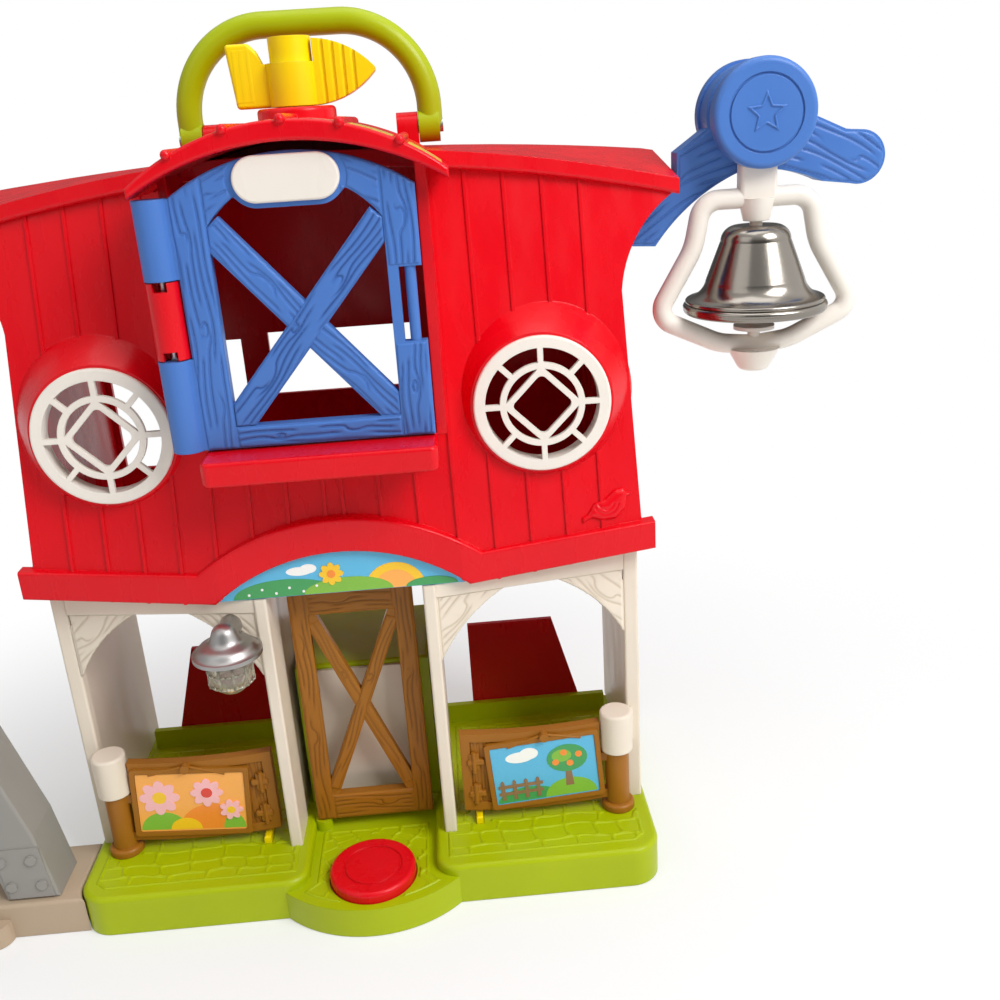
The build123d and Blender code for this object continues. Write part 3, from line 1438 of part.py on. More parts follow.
with BuildPart() as arm:
    with BuildSketch(front_plane(arm_y)) as arm_outline:
        with BuildLine():
            root_low = (arm_root_x, arm_root_z[0])
            root_high = (arm_root_x, arm_root_z[1])
            belly_start = (arm_root_x + 22.0, arm_root_z[0] - 1.5)
            belly_end = (bell_x - 5.4, bell_pivot_z - 20.7)
            underside = (bell_x + 26.7, bell_pivot_z - 26.2)
            neck_top = (bell_x + 35.3, bell_pivot_z - 7.6)
            step_low = (arm_step_x, arm_root_z[1] + 2.5)
            step_high = (arm_step_x, bell_pivot_z - 12.4)
            knob_low = (knob_at[0], knob_at[1] - knob_radius)
            knob_high = (knob_at[0] + 2.0, knob_at[1] + knob_radius - 0.4)
            Polyline(root_high, root_low, belly_start)
            ThreePointArc(belly_start, (bell_x - 24.8, bell_pivot_z - 32.0), belly_end)
            ThreePointArc(belly_end, (bell_x + 11.7, bell_pivot_z - 21.2), underside)
            Polyline(underside, knob_low, knob_high, neck_top)
            Polyline(neck_top, (bell_x + 14.7, bell_pivot_z + 2.0), (bell_x - 15.3, bell_pivot_z - 2.4), step_high)
            Polyline(step_high, step_low, root_high)
        make_face()
        with Locations((bell_x, bell_pivot_z)):
            Circle(disc_radius - 1)
        with Locations(knob_at):
            Circle(knob_radius)
        shoulders = [v for v in arm_outline.vertices() if abs(v.X - neck_top[0]) + abs(v.Z - neck_top[1]) < 1]
        fillet(shoulders, arm_round)
        with Locations((bell_x, bell_pivot_z)):
            Circle(bell_pin_radius + press_gap, mode=Mode.SUBTRACT)
    extrude(amount=-arm_thickness)
    # foot that screws to the side wall
    foot_y = arm_y + arm_thickness / 2
    board(
        (arm_root_x, foot_y - arm_foot_half, arm_root_z[0] - 2),
        (arm_root_x + arm_foot_thickness, foot_y + arm_foot_half, arm_root_z[1]),
    )
    with BuildSketch(side_plane(arm_root_x)):
        with Locations(*arm_screw_at):
            Circle(arm_screw_radius + seat_gap)
    extrude(amount=arm_foot_thickness, mode=Mode.SUBTRACT)
save(arm.part, "bell_arm")

with BuildPart() as arm_screws:
    with BuildSketch(side_plane(arm_root_x + arm_foot_thickness)):
        with Locations(*arm_screw_at):
            Circle(screw_head_radius)
    extrude(amount=1.6)
    with BuildSketch(side_plane(arm_root_x - shell)):
        with Locations(*arm_screw_at):
            Circle(arm_screw_radius)
    extrude(amount=arm_foot_thickness + shell)
save(arm_screws.part, "arm_screws")

yoke_front = yoke_y - yoke_radius
yoke_back = yoke_y + yoke_radius
with BuildPart() as front_disc:
    with BuildSketch(front_plane(yoke_front - 0.4)):
        with Locations((bell_x, bell_pivot_z)):
            Circle(disc_radius)
    extrude(amount=disc_thickness)
    fillet(front_disc.faces().sort_by(Axis.Y)[0].edges(), 2.2)
    # pressed ring
    with BuildSketch(front_plane(yoke_front - 0.4 - disc_thickness)):
        with Locations((bell_x, bell_pivot_z)):
            Circle(14.0)
            Circle(13.2, mode=Mode.SUBTRACT)
    extrude(amount=-0.6, mode=Mode.SUBTRACT)
    with BuildSketch(front_plane(yoke_front - 0.4)):
        with Locations((bell_x, bell_pivot_z)):
            Circle(bell_pin_radius + press_gap)
    extrude(amount=disc_thickness - 2, mode=Mode.SUBTRACT)
save(front_disc.part, "arm_front_disc")

arm_back_y = arm_y + arm_thickness
with BuildPart() as back_disc:
    with BuildSketch(front_plane(arm_back_y)):
        with Locations((bell_x, bell_pivot_z)):
            Circle(disc_radius)
    extrude(amount=-disc_thickness)
    fillet(back_disc.faces().sort_by(Axis.Y)[-1].edges(), 2.2)
    with BuildSketch(front_plane(arm_back_y)):
        with Locations((bell_x, bell_pivot_z)):
            Circle(bell_pin_radius + press_gap)
    extrude(amount=-(disc_thickness - 2), mode=Mode.SUBTRACT)
save(back_disc.part, "arm_back_disc")

with BuildPart() as pivot_pin:
    with BuildSketch(front_plane(yoke_front - 0.4 - disc_thickness + 2.3)):
        with Locations((bell_x, bell_pivot_z)):
            Circle(bell_pin_radius)
    extrude(amount=-(arm_back_y + disc_thickness - 2.3 - (yoke_front - 0.4 - disc_thickness + 2.3)))
save(pivot_pin.part, "bell_pivot_pin")

# ---------------------------------------------------------------- yoke and bell
yoke_bar_z = bell_pivot_z - 30.2
yoke_eye_radius = 14.0
yoke_neck_width = 14.0
yoke_low_z = bell_mouth_z - 13.5
yoke_outline = [
    (21.0, yoke_bar_z),
    (24.5, yoke_bar_z - 17.8),
    (39.5, bell_mouth_z),
    (14.0, yoke_low_z + 1.5),
]
yoke_bends = [8.0, 25.0, 6.5, 22.0]
collar_z = bell_top_z - 5.5
collar_radius = 4.6
guard_z = yoke_low_z + 6.5
guard_radius = 8.0
guard_thickness = 1.5
boss_radius = 10.5
boss_tip_radius = 5.5
boss_drop = 9.0
boss_round = 3.0
crown_thickness = 1.8

with BuildPart() as yoke_neck:
    board(
        (bell_x - yoke_neck_width / 2, yoke_front, yoke_bar_z),
        (bell_x + yoke_neck_width / 2, yoke_back, bell_pivot_z),
    )
    fillet(yoke_neck.edges().filter_by(Axis.Z), 1.5)

with BuildPart() as yoke_boss:
    with Locations((bell_x, yoke_y, yoke_low_z - 1)):
        Cone(boss_tip_radius, boss_radius, boss_drop, align=(Align.CENTER, Align.CENTER, Align.MAX))
    fillet(yoke_boss.faces().sort_by(Axis.Z)[0].edges(), boss_round)

with BuildPart() as yoke:
    with BuildLine() as yoke_path:
        right = [(bell_x + x, yoke_y, z) for x, z in yoke_outline]
        left = [(bell_x - x, yoke_y, z) for x, z in reversed(yoke_outline)]
        FilletPolyline(
            *right,
            (bell_x, yoke_y, yoke_low_z),
            *left,
            radius=[*yoke_bends, 40.0, *reversed(yoke_bends)],
            close=True,
        )
    with BuildSketch(Plane(yoke_path.line @ 0, z_dir=yoke_path.line % 0)):
        Circle(yoke_radius)
    sweep()
    # neck and eye
    add(yoke_neck.part)
    with BuildSketch(front_plane(yoke_front)):
        with Locations((bell_x, bell_pivot_z)):
            Circle(yoke_eye_radius)
    extrude(amount=-2 * yoke_radius)
    with BuildSketch(front_plane(yoke_front)):
        with Locations((bell_x, bell_pivot_z)):
            Circle(bell_pin_radius + running)
    extrude(amount=-2 * yoke_radius, mode=Mode.SUBTRACT)
    add(yoke_boss.part)
    # cone, rod, collar and guard under the bar
    with Locations((bell_x, yoke_y, yoke_bar_z)):
        Cone(5.0, 7.0, 8.5, align=(Align.CENTER, Align.CENTER, Align.MAX))
    rod(bell_x, yoke_y, yoke_low_z, yoke_bar_z, bell_rod_radius)
    rod(bell_x, yoke_y, collar_z, bell_top_z - crown_thickness - 0.3, collar_radius)
    rod(bell_x, yoke_y, guard_z, guard_z + guard_thickness, guard_radius)
save(yoke.part, "bell_yoke")

bell_hole = bell_rod_radius + 0.1
crown_edge = (9.0, bell_top_z)
shoulder = (13.4, bell_top_z - 5.5)
waist = (19.0, bell_top_z - 20.5)
bead_top = (bell_mouth_radius - 1.8, bell_mouth_z + 5.6)
bead_groove = (bell_mouth_radius - 1.2, bell_mouth_z + 4.0)
lip = (bell_mouth_radius, bell_mouth_z + 2.0)
lip_inside = (bell_mouth_radius - bell_wall - 0.4, bell_mouth_z)


def bell_point(point):
    """A place on the bell's section, given as radius and height."""
    return (yoke_y + point[0], point[1])


with BuildPart() as bell:
    with BuildSketch(side_plane(bell_x)):
        with BuildLine():
            hole_top = bell_point((bell_hole, bell_top_z))
            hole_low = bell_point((bell_hole, bell_top_z - crown_thickness))
            Line(hole_top, bell_point(crown_edge))
            ThreePointArc(bell_point(crown_edge), bell_point((12.0, bell_top_z - 1.9)), bell_point(shoulder))
            Line(bell_point(shoulder), bell_point(waist))
            ThreePointArc(bell_point(waist), bell_point((21.9, bell_mouth_z + 7.6)), bell_point(bead_top))
            # a bead over the lip, and the rounded lip
            ThreePointArc(bell_point(bead_top), bell_point((26.9, bell_mouth_z + 5.0)), bell_point(bead_groove))
            ThreePointArc(bell_point(bead_groove), bell_point((27.6, bell_mouth_z + 3.4)), bell_point(lip))
            ThreePointArc(bell_point(lip), bell_point((27.3, bell_mouth_z + 0.5)), bell_point(lip_inside))
            inner_waist = (waist[0] - bell_wall, waist[1] - 1.0)
            inner_shoulder = (shoulder[0] - bell_wall + 0.1, shoulder[1] - 1.0)
            ThreePointArc(
                bell_point(lip_inside), bell_point((20.2, bell_mouth_z + 5.5)), bell_point(inner_waist)
            )
            Line(bell_point(inner_waist), bell_point(inner_shoulder))
            inner_crown = (8.6, bell_top_z - crown_thickness)
            ThreePointArc(
                bell_point(inner_shoulder), bell_point((10.8, bell_top_z - 3.3)), bell_point(inner_crown)
            )
            Polyline(bell_point(inner_crown), hole_low, hole_top)
        make_face()
    revolve(axis=Axis((bell_x, yoke_y, 0), (0, 0, 1)))
save(bell.part, "bell")

# ---------------------------------------------------------------- side yard
tower_middle_x = (tower_left_x + tower_right_x) / 2
tower_half = tower_right_x - tower_middle_x
bolt_pitch = 12.0
lug_at = (-base_half_width - 35.0, 9.0)
yard_lug_radius = 7.0


def yard_plan(inset):
    """Plan of the yard, wrapped round the barn's corner and pulled in by an inset."""
    with BuildSketch() as plan:
        with Locations((yard_left_x, yard_front_y)):
            Rectangle(-base_half_width - yard_left_x + base_corner, yard_back_y - yard_front_y,
                      align=(Align.MIN, Align.MIN))
        offset(base_plan.sketch, amount=yard_gap, mode=Mode.SUBTRACT)
    return offset(plan.sketch, amount=-inset) if inset else plan.sketch


with BuildPart() as yard_base:
    extrude(yard_plan(0), amount=yard_height)
    rod(lug_at[0], yard_front_y, 0, lug_at[1], yard_lug_radius)
    fillet(yard_base.faces().sort_by(Axis.Z)[-1].edges(), 1.5)
    extrude(yard_plan(shell), amount=yard_height - shell, mode=Mode.SUBTRACT)
    board(
        (-base_half_width - yard_gap - shell, tongue_y - tongue_size[0] / 2, tongue_z - tongue_size[1] / 2),
        (-base_half_width + shell + 2, tongue_y + tongue_size[0] / 2, tongue_z + tongue_size[1] / 2),
    )
save(yard_base.part, "yard_base")

with BuildPart() as tower:
    with BuildSketch(front_plane(tower_front_y)):
        with Locations((tower_middle_x, 0)):
            Polygon(
                (-tower_half, yard_height),
                (tower_half, yard_height),
                (tower_half - tower_knee_in, tower_knee_z),
                (tower_top_half, tower_top_z),
                (-tower_top_half, tower_top_z),
                (tower_knee_in - tower_half, tower_knee_z),
                align=None,
            )
            Polygon(
                (tower_leg - tower_half, yard_height),
                (tower_half - tower_leg, yard_height),
                (tower_half - tower_leg - tower_knee_in, tower_knee_z),
                (0, tower_top_z - 2 * tower_leg),
                (tower_leg - tower_half + tower_knee_in, tower_knee_z),
                align=None,
                mode=Mode.SUBTRACT,
            )
    extrude(amount=-(tower_back_y - tower_front_y))
    fillet(tower.faces().sort_by(Axis.Z)[-1].edges().filter_by(Axis.Y), 4.0)
    fillet(tower.faces().sort_by(Axis.Y)[0].edges(), 1.2)
save(tower.part, "yard_tower")

with BuildPart() as tower_bolts:
    with BuildSketch(front_plane(tower_front_y)):
        for side in (-1, 1):
            for row in range(2):
                z = yard_height + 7 + bolt_pitch * row
                drawn_in = tower_knee_in * (z - yard_height) / (tower_knee_z - yard_height)
                middle = tower_middle_x + side * (tower_half - tower_leg / 2 - drawn_in)
                with Locations((middle - bolt_pitch / 2, z), (middle + bolt_pitch / 2, z)):
                    Circle(2.2)
    extrude(amount=1.3)
save(tower_bolts.part, "tower_bolts")
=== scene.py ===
import math
import random

import bmesh
import bpy
import numpy as np
from mathutils import Matrix, Vector


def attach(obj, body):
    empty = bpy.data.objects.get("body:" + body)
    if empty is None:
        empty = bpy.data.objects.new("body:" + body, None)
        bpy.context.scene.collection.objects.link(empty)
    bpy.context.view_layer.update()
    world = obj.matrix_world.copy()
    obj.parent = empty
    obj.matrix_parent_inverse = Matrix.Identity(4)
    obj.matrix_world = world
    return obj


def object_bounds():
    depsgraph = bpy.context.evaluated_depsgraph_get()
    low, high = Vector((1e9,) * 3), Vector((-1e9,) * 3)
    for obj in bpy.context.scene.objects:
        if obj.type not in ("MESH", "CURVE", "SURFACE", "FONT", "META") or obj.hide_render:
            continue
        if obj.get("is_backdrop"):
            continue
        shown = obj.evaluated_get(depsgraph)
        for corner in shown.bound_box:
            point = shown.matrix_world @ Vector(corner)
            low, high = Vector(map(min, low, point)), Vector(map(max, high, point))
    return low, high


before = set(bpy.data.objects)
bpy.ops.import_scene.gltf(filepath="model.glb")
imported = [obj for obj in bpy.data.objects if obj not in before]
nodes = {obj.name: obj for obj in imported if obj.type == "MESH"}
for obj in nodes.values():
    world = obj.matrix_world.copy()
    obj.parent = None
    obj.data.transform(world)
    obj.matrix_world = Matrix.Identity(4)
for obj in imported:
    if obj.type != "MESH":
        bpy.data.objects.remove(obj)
cad_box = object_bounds()
mm = 0.001


# ---- Camera
# The barn is looked at from a little right of its middle, from above the eaves,
# with the camera rolled a few degrees.
camera_at = Vector((46.5, -347.5, 300.4)) * mm
camera_turn = [math.radians(a) for a in (69.84, 3.506, -3.709)]
lens = bpy.data.cameras.new("camera")
lens.sensor_width = 36.0
lens.lens = 37.8
camera = bpy.data.objects.new("camera", lens)
camera.location = camera_at
camera.rotation_euler = camera_turn
bpy.context.scene.collection.objects.link(camera)
bpy.context.scene.camera = camera
bpy.context.scene.view_settings.view_transform = "Standard"


# ---- Floor and light
# A white paper sweep under the toy, a broad soft window from the right, weaker ones from the left
# and from above. Glosses mirror a room with bright sides and ceiling and a dim front.
def srgb(code):
    """A hex colour as the linear values that shaders work in."""
    parts = [int(code[i : i + 2], 16) / 255 for i in (1, 3, 5)]
    return (*[p / 12.92 if p <= 0.04045 else ((p + 0.055) / 1.055) ** 2.4 for p in parts], 1.0)


def put(tree, kind, values=None, links=None, **settings):
    """Adds one node with its settings, its socket values and the sockets linked into it."""
    made = tree.nodes.new(kind)
    for key, value in settings.items():
        setattr(made, key, value)
    for key, value in (values or {}).items():
        made.inputs[key].default_value = value
    for key, socket in (links or {}).items():
        tree.links.new(socket, made.inputs[key])
    return made


def fresh(name):
    """A new material with an empty node tree."""
    material = bpy.data.materials.new(name)
    material.use_nodes = True
    material.node_tree.nodes.clear()
    return material, material.node_tree


def maths(tree, kind, *sockets):
    """The outcome of a Math node on one socket or two."""
    return put(tree, "ShaderNodeMath", links=dict(enumerate(sockets)), operation=kind).outputs[0]


def ranged(tree, value, start=(0.0, 1.0), end=(0.0, 1.0), smooth=False):
    """A value taken from one range to another and held at its ends."""
    limits = {"From Min": start[0], "From Max": start[1], "To Min": end[0], "To Max": end[1]}
    kind = "SMOOTHSTEP" if smooth else "LINEAR"
    return put(tree, "ShaderNodeMapRange", limits, {"Value": value}, interpolation_type=kind).outputs[0]


def seen_white(tree):
    """1 for rays from the camera, off a gloss or through glass, which see the white room; else 0."""
    path = put(tree, "ShaderNodeLightPath").outputs
    direct = maths(tree, "MAXIMUM", path["Is Camera Ray"], path["Is Glossy Ray"])
    return maths(tree, "MAXIMUM", direct, path["Is Transmission Ray"])


room = bpy.data.worlds.new("white_room")
bpy.context.scene.world = room
room.use_nodes = True
air = room.node_tree
air.nodes.clear()
heading = put(air, "ShaderNodeTexCoord").outputs["Generated"]
toward = put(air, "ShaderNodeSeparateXYZ", links={0: heading}).outputs
panes = ranged(air, maths(air, "ABSOLUTE", toward["X"]), (0.4, 0.75), smooth=True)
evening = ranged(air, toward["X"], (-0.6, 0.6), (0.45, 1.0))
ceiling = ranged(air, toward["Z"], (0.25, 0.85), (0.0, 0.8))
walls = maths(air, "MULTIPLY", panes, evening)
mirrored = ranged(air, maths(air, "MAXIMUM", walls, ceiling), end=(0.12, 1.1))
lighting = ranged(air, seen_white(air), end=(0.3, 1.0))
off_gloss = put(air, "ShaderNodeLightPath").outputs["Is Glossy Ray"]
glow = put(air, "ShaderNodeMix", links={0: off_gloss, 2: lighting, 3: mirrored}, data_type="FLOAT")
shine = put(air, "ShaderNodeBackground", {"Color": (1, 1, 1, 1)}, {"Strength": glow.outputs[0]})
put(air, "ShaderNodeOutputWorld", links={"Surface": shine.outputs[0]})

floor_size = 3.0
floor_shape = bmesh.new()
bmesh.ops.create_grid(floor_shape, x_segments=1, y_segments=1, size=floor_size)
floor_mesh = bpy.data.meshes.new("floor")
floor_shape.to_mesh(floor_mesh)
floor_shape.free()
floor = bpy.data.objects.new("floor", floor_mesh)
floor_gap = 0.0003
floor.location.z = -floor_gap
bpy.context.scene.collection.objects.link(floor)
# The paper is a matt white that keeps the toy's shadow; seen from far off it fades into the room.
paper, tree = fresh("white_paper_sweep")
where = put(tree, "ShaderNodeTexCoord").outputs["Object"]
far_off = put(tree, "ShaderNodeVectorMath", links={0: where}, operation="LENGTH").outputs["Value"]
fade = ranged(tree, far_off, (0.16, 0.42), (0.35, 1.0), smooth=True)
whole = maths(tree, "MULTIPLY", fade, seen_white(tree))
matt = put(tree, "ShaderNodeBsdfDiffuse", {"Color": srgb("#F4F4F4")}).outputs[0]
white_glow = put(tree, "ShaderNodeEmission", {"Color": (1, 1, 1, 1), "Strength": 1.0}).outputs[0]
both = put(tree, "ShaderNodeMixShader", links={0: whole, 1: matt, 2: white_glow})
put(tree, "ShaderNodeOutputMaterial", links={"Surface": both.outputs[0]})
floor_mesh.materials.append(paper)
floor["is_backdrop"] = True

lit = Vector((0.0, 0.05, 0.16))
for name, place, size, power in (
    ("window_left", (-0.80, -0.70, 0.90), 0.8, 1.7),
    ("window_right", (0.75, -0.60, 1.00), 0.6, 14.0),
    ("window_top", (0.10, 0.10, 1.30), 0.9, 4.5),
):
    lamp = bpy.data.lights.new(name, "AREA")
    lamp.shape = "SQUARE"
    lamp.size = size
    lamp.energy = power
    stand = bpy.data.objects.new(name, lamp)
    stand.location = place
    stand.rotation_euler = (lit - Vector(place)).to_track_quat("-Z", "Y").to_euler()
    bpy.context.scene.collection.objects.link(stand)


# ---- Base tray and its cover
# The lime base is one ABS shell: two stall floors, a lower path and a round step in front, with
# cobbles drawn on its floors in raised lines. Its cover screws in from below.
def noise(tree, where, size, detail):
    """Noise with marks of about size mm."""
    values = {"Scale": 1 / (size * mm), "Detail": detail}
    return put(tree, "ShaderNodeTexNoise", values, {"Vector": where}).outputs["Fac"]


def coated(tree, values, links):
    """Ends a material in one shader."""
    skin = put(tree, "ShaderNodeBsdfPrincipled", values, links)
    put(tree, "ShaderNodeOutputMaterial", links={"Surface": skin.outputs[0]})


def moulded(name, colour, roughness=0.3, speck=0.7, groove_shade=None):
    """Injection-moulded plastic: an even colour with a faint cloud in it, a satin skin, soft mould edges.

    speck is the size of the skin's orange peel in mm. The groove colour is painted shade that darkens
    pressed lines, as much as the piece's own attribute says.
    """
    drift, edge = 0.07, 0.5 * mm
    material, tree = fresh(name)
    where = put(tree, "ShaderNodeTexCoord").outputs["Object"]
    cloud = noise(tree, where, 45, 3.0)
    full = srgb(colour)
    deep = [*[c * (1 - drift * 1.6) for c in full[:3]], 1]
    pale = [*[min(1, c * (1 + drift)) for c in full[:3]], 1]
    body = put(tree, "ShaderNodeMix", {6: deep, 7: pale}, {0: cloud}, data_type="RGBA")
    shade = body.outputs[2]
    # painted shade: pressed lines are darkened towards the groove colour
    if groove_shade:
        line = put(tree, "ShaderNodeAttribute", attribute_name="groove_shade").outputs["Fac"]
        groove_shaded = put(tree, "ShaderNodeMix", {7: srgb(groove_shade)}, {0: line, 6: shade}, data_type="RGBA")
        shade = groove_shaded.outputs[2]
    # handling leaves faint dull streaks, about a centimetre long
    streak_map = put(tree, "ShaderNodeMapping", {"Scale": (1, 1, 0.3)}, {"Vector": where})
    streak = noise(tree, streak_map.outputs[0], 9, 5.0)
    dull = ranged(tree, streak, (0.35, 0.7), (roughness - 0.05, roughness + 0.1))
    soft = put(tree, "ShaderNodeBevel", {"Radius": edge}, samples=4)
    peel = put(tree, "ShaderNodeBump", {"Strength": 0.08, "Distance": 0.05 * mm},
               {"Height": noise(tree, where, speck, 2.0), "Normal": soft.outputs[0]})
    coated(tree, {"IOR": 1.53, "Specular IOR Level": 0.26},
           {"Base Color": shade, "Roughness": dull, "Normal": peel.outputs[0]})
    return material


def dress(material, *names):
    """Gives carried-over pieces their material."""
    for name in names:
        mesh = nodes[name].data
        mesh.materials.clear()
        mesh.materials.append(material)


def finished(name, shape, materials, body, smooth=True):
    """Turns a bmesh drawn in mm into a piece of the toy, riding on its body."""
    bmesh.ops.scale(shape, vec=(mm, mm, mm), verts=shape.verts)
    mesh = bpy.data.meshes.new(name)
    shape.to_mesh(mesh)
    shape.free()
    for material in materials:
        mesh.materials.append(material)
    mesh.polygons.foreach_set("use_smooth", [smooth] * len(mesh.polygons))
    piece = bpy.data.objects.new(name, mesh)
    bpy.context.scene.collection.objects.link(piece)
    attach(piece, body)
    return piece


def inside_by(points, outline):
    """How far inside a closed outline each point lies, in mm; negative outside it."""
    corners = np.array(outline, float)
    within = np.zeros(len(points), bool)
    nearest = np.full(len(points), 1e9)
    for start, end in zip(corners, np.roll(corners, -1, axis=0)):
        run = end - start
        if run @ run < 1e-9:
            continue
        along = np.clip((points - start) @ run / (run @ run), 0, 1)
        away = points - start - along[:, None] * run
        nearest = np.minimum(nearest, np.hypot(away[:, 0], away[:, 1]))
        crossed = (start[1] > points[:, 1]) != (end[1] > points[:, 1])
        rise = run[1] if abs(run[1]) > 1e-9 else 1e-9
        within ^= crossed & (points[:, 0] < start[0] + (points[:, 1] - start[1]) / rise * run[0])
    return np.where(within, nearest, -nearest)


def vertices(geometry):
    """The vertices in what an operator hands back."""
    return [g for g in geometry if isinstance(g, bmesh.types.BMVert)]


relief_back = 0.6
# points this many steps outside an outline stay, so that the sheet reaches past it
rim_steps = 0.6


def relief(name, outline, axes, height, material, body, step=0.45, keep=None):
    """A moulded relief: a fine sheet cut to an outline, raised point by point, on a flat back.

    axes are the origin, the u axis and the v axis in mm; the sheet rises along their cross product.
    height(points, inside) gives each point's height over the surface and the painted shade in its grooves.
    Its rim and its back lie under the surface of the piece that carries it.
    """
    origin, along, across = [np.array(v, float) for v in axes]
    outward = np.cross(along, across)
    low, high = np.min(outline, axis=0), np.max(outline, axis=0)
    counts = np.maximum(2, np.ceil((high - low) / step)).astype(int)
    shape = bmesh.new()
    bmesh.ops.create_grid(shape, x_segments=int(counts[0]), y_segments=int(counts[1]), size=0.5)
    flat = np.array([v.co[:2] for v in shape.verts]) * (high - low) + (low + high) / 2
    inside = inside_by(flat, outline)
    rises, marks = height(flat, inside)
    # this layer carries the painted shade of the carved lines to the material
    groove_shade = shape.verts.layers.float.new("groove_shade")
    wanted = inside > -rim_steps * step
    if keep is not None:
        wanted &= keep(flat)
    for vert, (u, v), rise, groove_shade_amount in zip(shape.verts, flat, rises, marks):
        vert.co = (u, v, rise)
        vert[groove_shade] = groove_shade_amount
    shape.verts.ensure_lookup_table()
    bmesh.ops.delete(shape, geom=[v for v, ok in zip(shape.verts, wanted) if not ok], context="VERTS")
    bmesh.ops.delete(shape, geom=[v for v in shape.verts if not v.link_faces], context="VERTS")
    copied = bmesh.ops.extrude_face_region(shape, geom=shape.faces[:], use_keep_orig=True)["geom"]
    backs = vertices(copied)
    for vert in backs:
        vert.co.z = -relief_back
        vert[groove_shade] = 0.0
    back_faces = [g for g in copied if isinstance(g, bmesh.types.BMFace)]
    edges = list(dict.fromkeys(e for f in back_faces for e in f.edges))
    bmesh.ops.dissolve_limit(shape, angle_limit=0.01, use_dissolve_boundaries=False, verts=backs,
                             edges=edges)
    turn = Matrix([[*row] for row in np.array([along, across, outward]).T])
    for vert in shape.verts:
        vert.co = Vector(origin) + turn @ vert.co
    bmesh.ops.recalc_face_normals(shape, faces=shape.faces)
    return finished(name, shape, [material], body)


def courses(points, rows, widths, seed):
    """Distance in mm from each point to the nearest joint of stones that are laid in rows along u.

    rows and widths are the least and the most that a row is high and a stone is wide. The rows wander.
    """
    dice = random.Random(seed)
    corner = 2.2
    u = points[:, 0] + 0.8 * np.sin(points[:, 1] / 5.1 + seed) + 0.35 * np.sin(points[:, 1] / 2.3)
    v = points[:, 1] + 0.7 * np.sin(points[:, 0] / 6.3 + seed) + 0.3 * np.sin(points[:, 0] / 2.9)
    nearest = np.full(len(points), 1e9)
    level = v.min() - dice.uniform(*rows)
    while level < v.max():
        top = level + dice.uniform(*rows)
        row = (v >= level) & (v < top)
        side = u.min() - dice.uniform(*widths)
        while side < u.max():
            far = side + dice.uniform(*widths)
            cell = row & (u >= side) & (u < far)
            across = np.minimum(u[cell] - side, far - u[cell])
            upward = np.minimum(v[cell] - level, top - v[cell])
            # the corners are rounded off: close to one, both distances count
            bent = corner - np.hypot(np.maximum(corner - across, 0), np.maximum(corner - upward, 0))
            nearest[cell] = np.maximum(np.minimum(np.minimum(across, upward), np.maximum(bent, 0)), 0)
            side = far
        level = top
    return nearest


ridge_height = 0.6
ridge_width = 0.7
ridge_fade = 1.5
border_in = 0.9
buried = 0.25
row_heights = (6.5, 9.5)
stone_widths = (8.5, 16.0)


def cobbles(seed, fold=lambda p: p):
    """Height of raised joints between stones; fold lays the rows round a centre."""

    def height(points, inside):
        joint = courses(fold(points), row_heights, stone_widths, seed)
        ridge = np.exp(-((joint / ridge_width) ** 2)) * np.clip(inside / ridge_fade, 0, 1)
        border = np.exp(-(((inside - border_in) / ridge_width) ** 2))
        return (ridge_height + buried) * np.maximum(ridge, border) - buried, 0 * ridge

    return height


def clear_of(*spots):
    """Keeps points that are further than r from each (x, y, r)."""
    return lambda p: np.all([np.hypot(p[:, 0] - x, p[:, 1] - y) > r for x, y, r in spots], axis=0)


lime = moulded("lime_moulded_abs", "#A9B900", roughness=0.34)
dress(lime, "base_tray", "base_cover", "sound_housing", "battery_door", "handle")
platform_top = 17.5
path_top = 12.8
# x, y and the radius that stays clear of cobbles
button_hole = (0.0, 6.5, 18.9)
step_centre = (0.0, 35.0)
step_rim = 45.5
step_middle = 40.0
gate_foot = (105.0, 31.0, 8.0)
key_hole = (45.0, 31.0, 5.6)
flat_axes = ((1, 0, 0), (0, 1, 0))
yard = [(31.0, 6.0), (108.0, 6.0), (112.5, 10.0), (112.5, 104.0), (36.0, 104.0), (36.0, 42.0), (31.0, 38.0)]
for side, name in ((1, "cobbles_right"), (-1, "cobbles_left")):
    outline = [(side * x, y) for x, y in yard]
    clear = clear_of(*[(side * x, y, room) for x, y, room in (gate_foot, key_hole)])
    relief(name, outline, ((0, 0, platform_top), *flat_axes), cobbles(3 + side), lime, "barn",
           step=0.6, keep=clear)


def round_step(points):
    """Lays rows of stones along the step's rim, with their widths true at its middle radius."""
    away = points - np.array(step_centre)
    radius = np.hypot(away[:, 0], away[:, 1])
    return np.stack([np.arctan2(away[:, 0], -away[:, 1]) * step_middle, radius], axis=1)


sweep = [math.radians(a) for a in range(-38, 39, 4)]
path_outline = [(step_rim * math.sin(a), step_centre[1] - step_rim * math.cos(a)) for a in sweep]
path_outline += [(23.0, 4.0), (23.0, 36.5), (-23.0, 36.5), (-23.0, 4.0)]
relief("cobbles_path", path_outline, ((0, 0, path_top), *flat_axes), cobbles(8, round_step), lime, "barn",
       step=0.5, keep=clear_of(button_hole))


# ---- Screws, speaker and the sound button
# The red ABS button stands on a steel spring over its switch board. Steel screws and a black speaker
# sit in the base.
def metal(name, colour, roughness, grain, bump=0.1):
    """A bare or plated metal with a fine uneven skin; grain is the size of its marks in mm."""
    material, tree = fresh(name)
    marks = noise(tree, put(tree, "ShaderNodeTexCoord").outputs["Object"], grain, 4.0)
    dull = ranged(tree, marks, end=(roughness * 0.7, roughness * 1.4))
    pits = put(tree, "ShaderNodeBump", {"Strength": bump, "Distance": 0.1 * mm}, {"Height": marks})
    coated(tree, {"Base Color": srgb(colour), "Metallic": 1.0},
           {"Roughness": dull, "Normal": pits.outputs[0]})
    return material


red = moulded("red_moulded_abs", "#E00216", roughness=0.27)
dress(red, "button", "roof", "dormer_roof", "front_wall", "loft_floor", "side_wall_right", "side_wall_left",
      "back_wall")
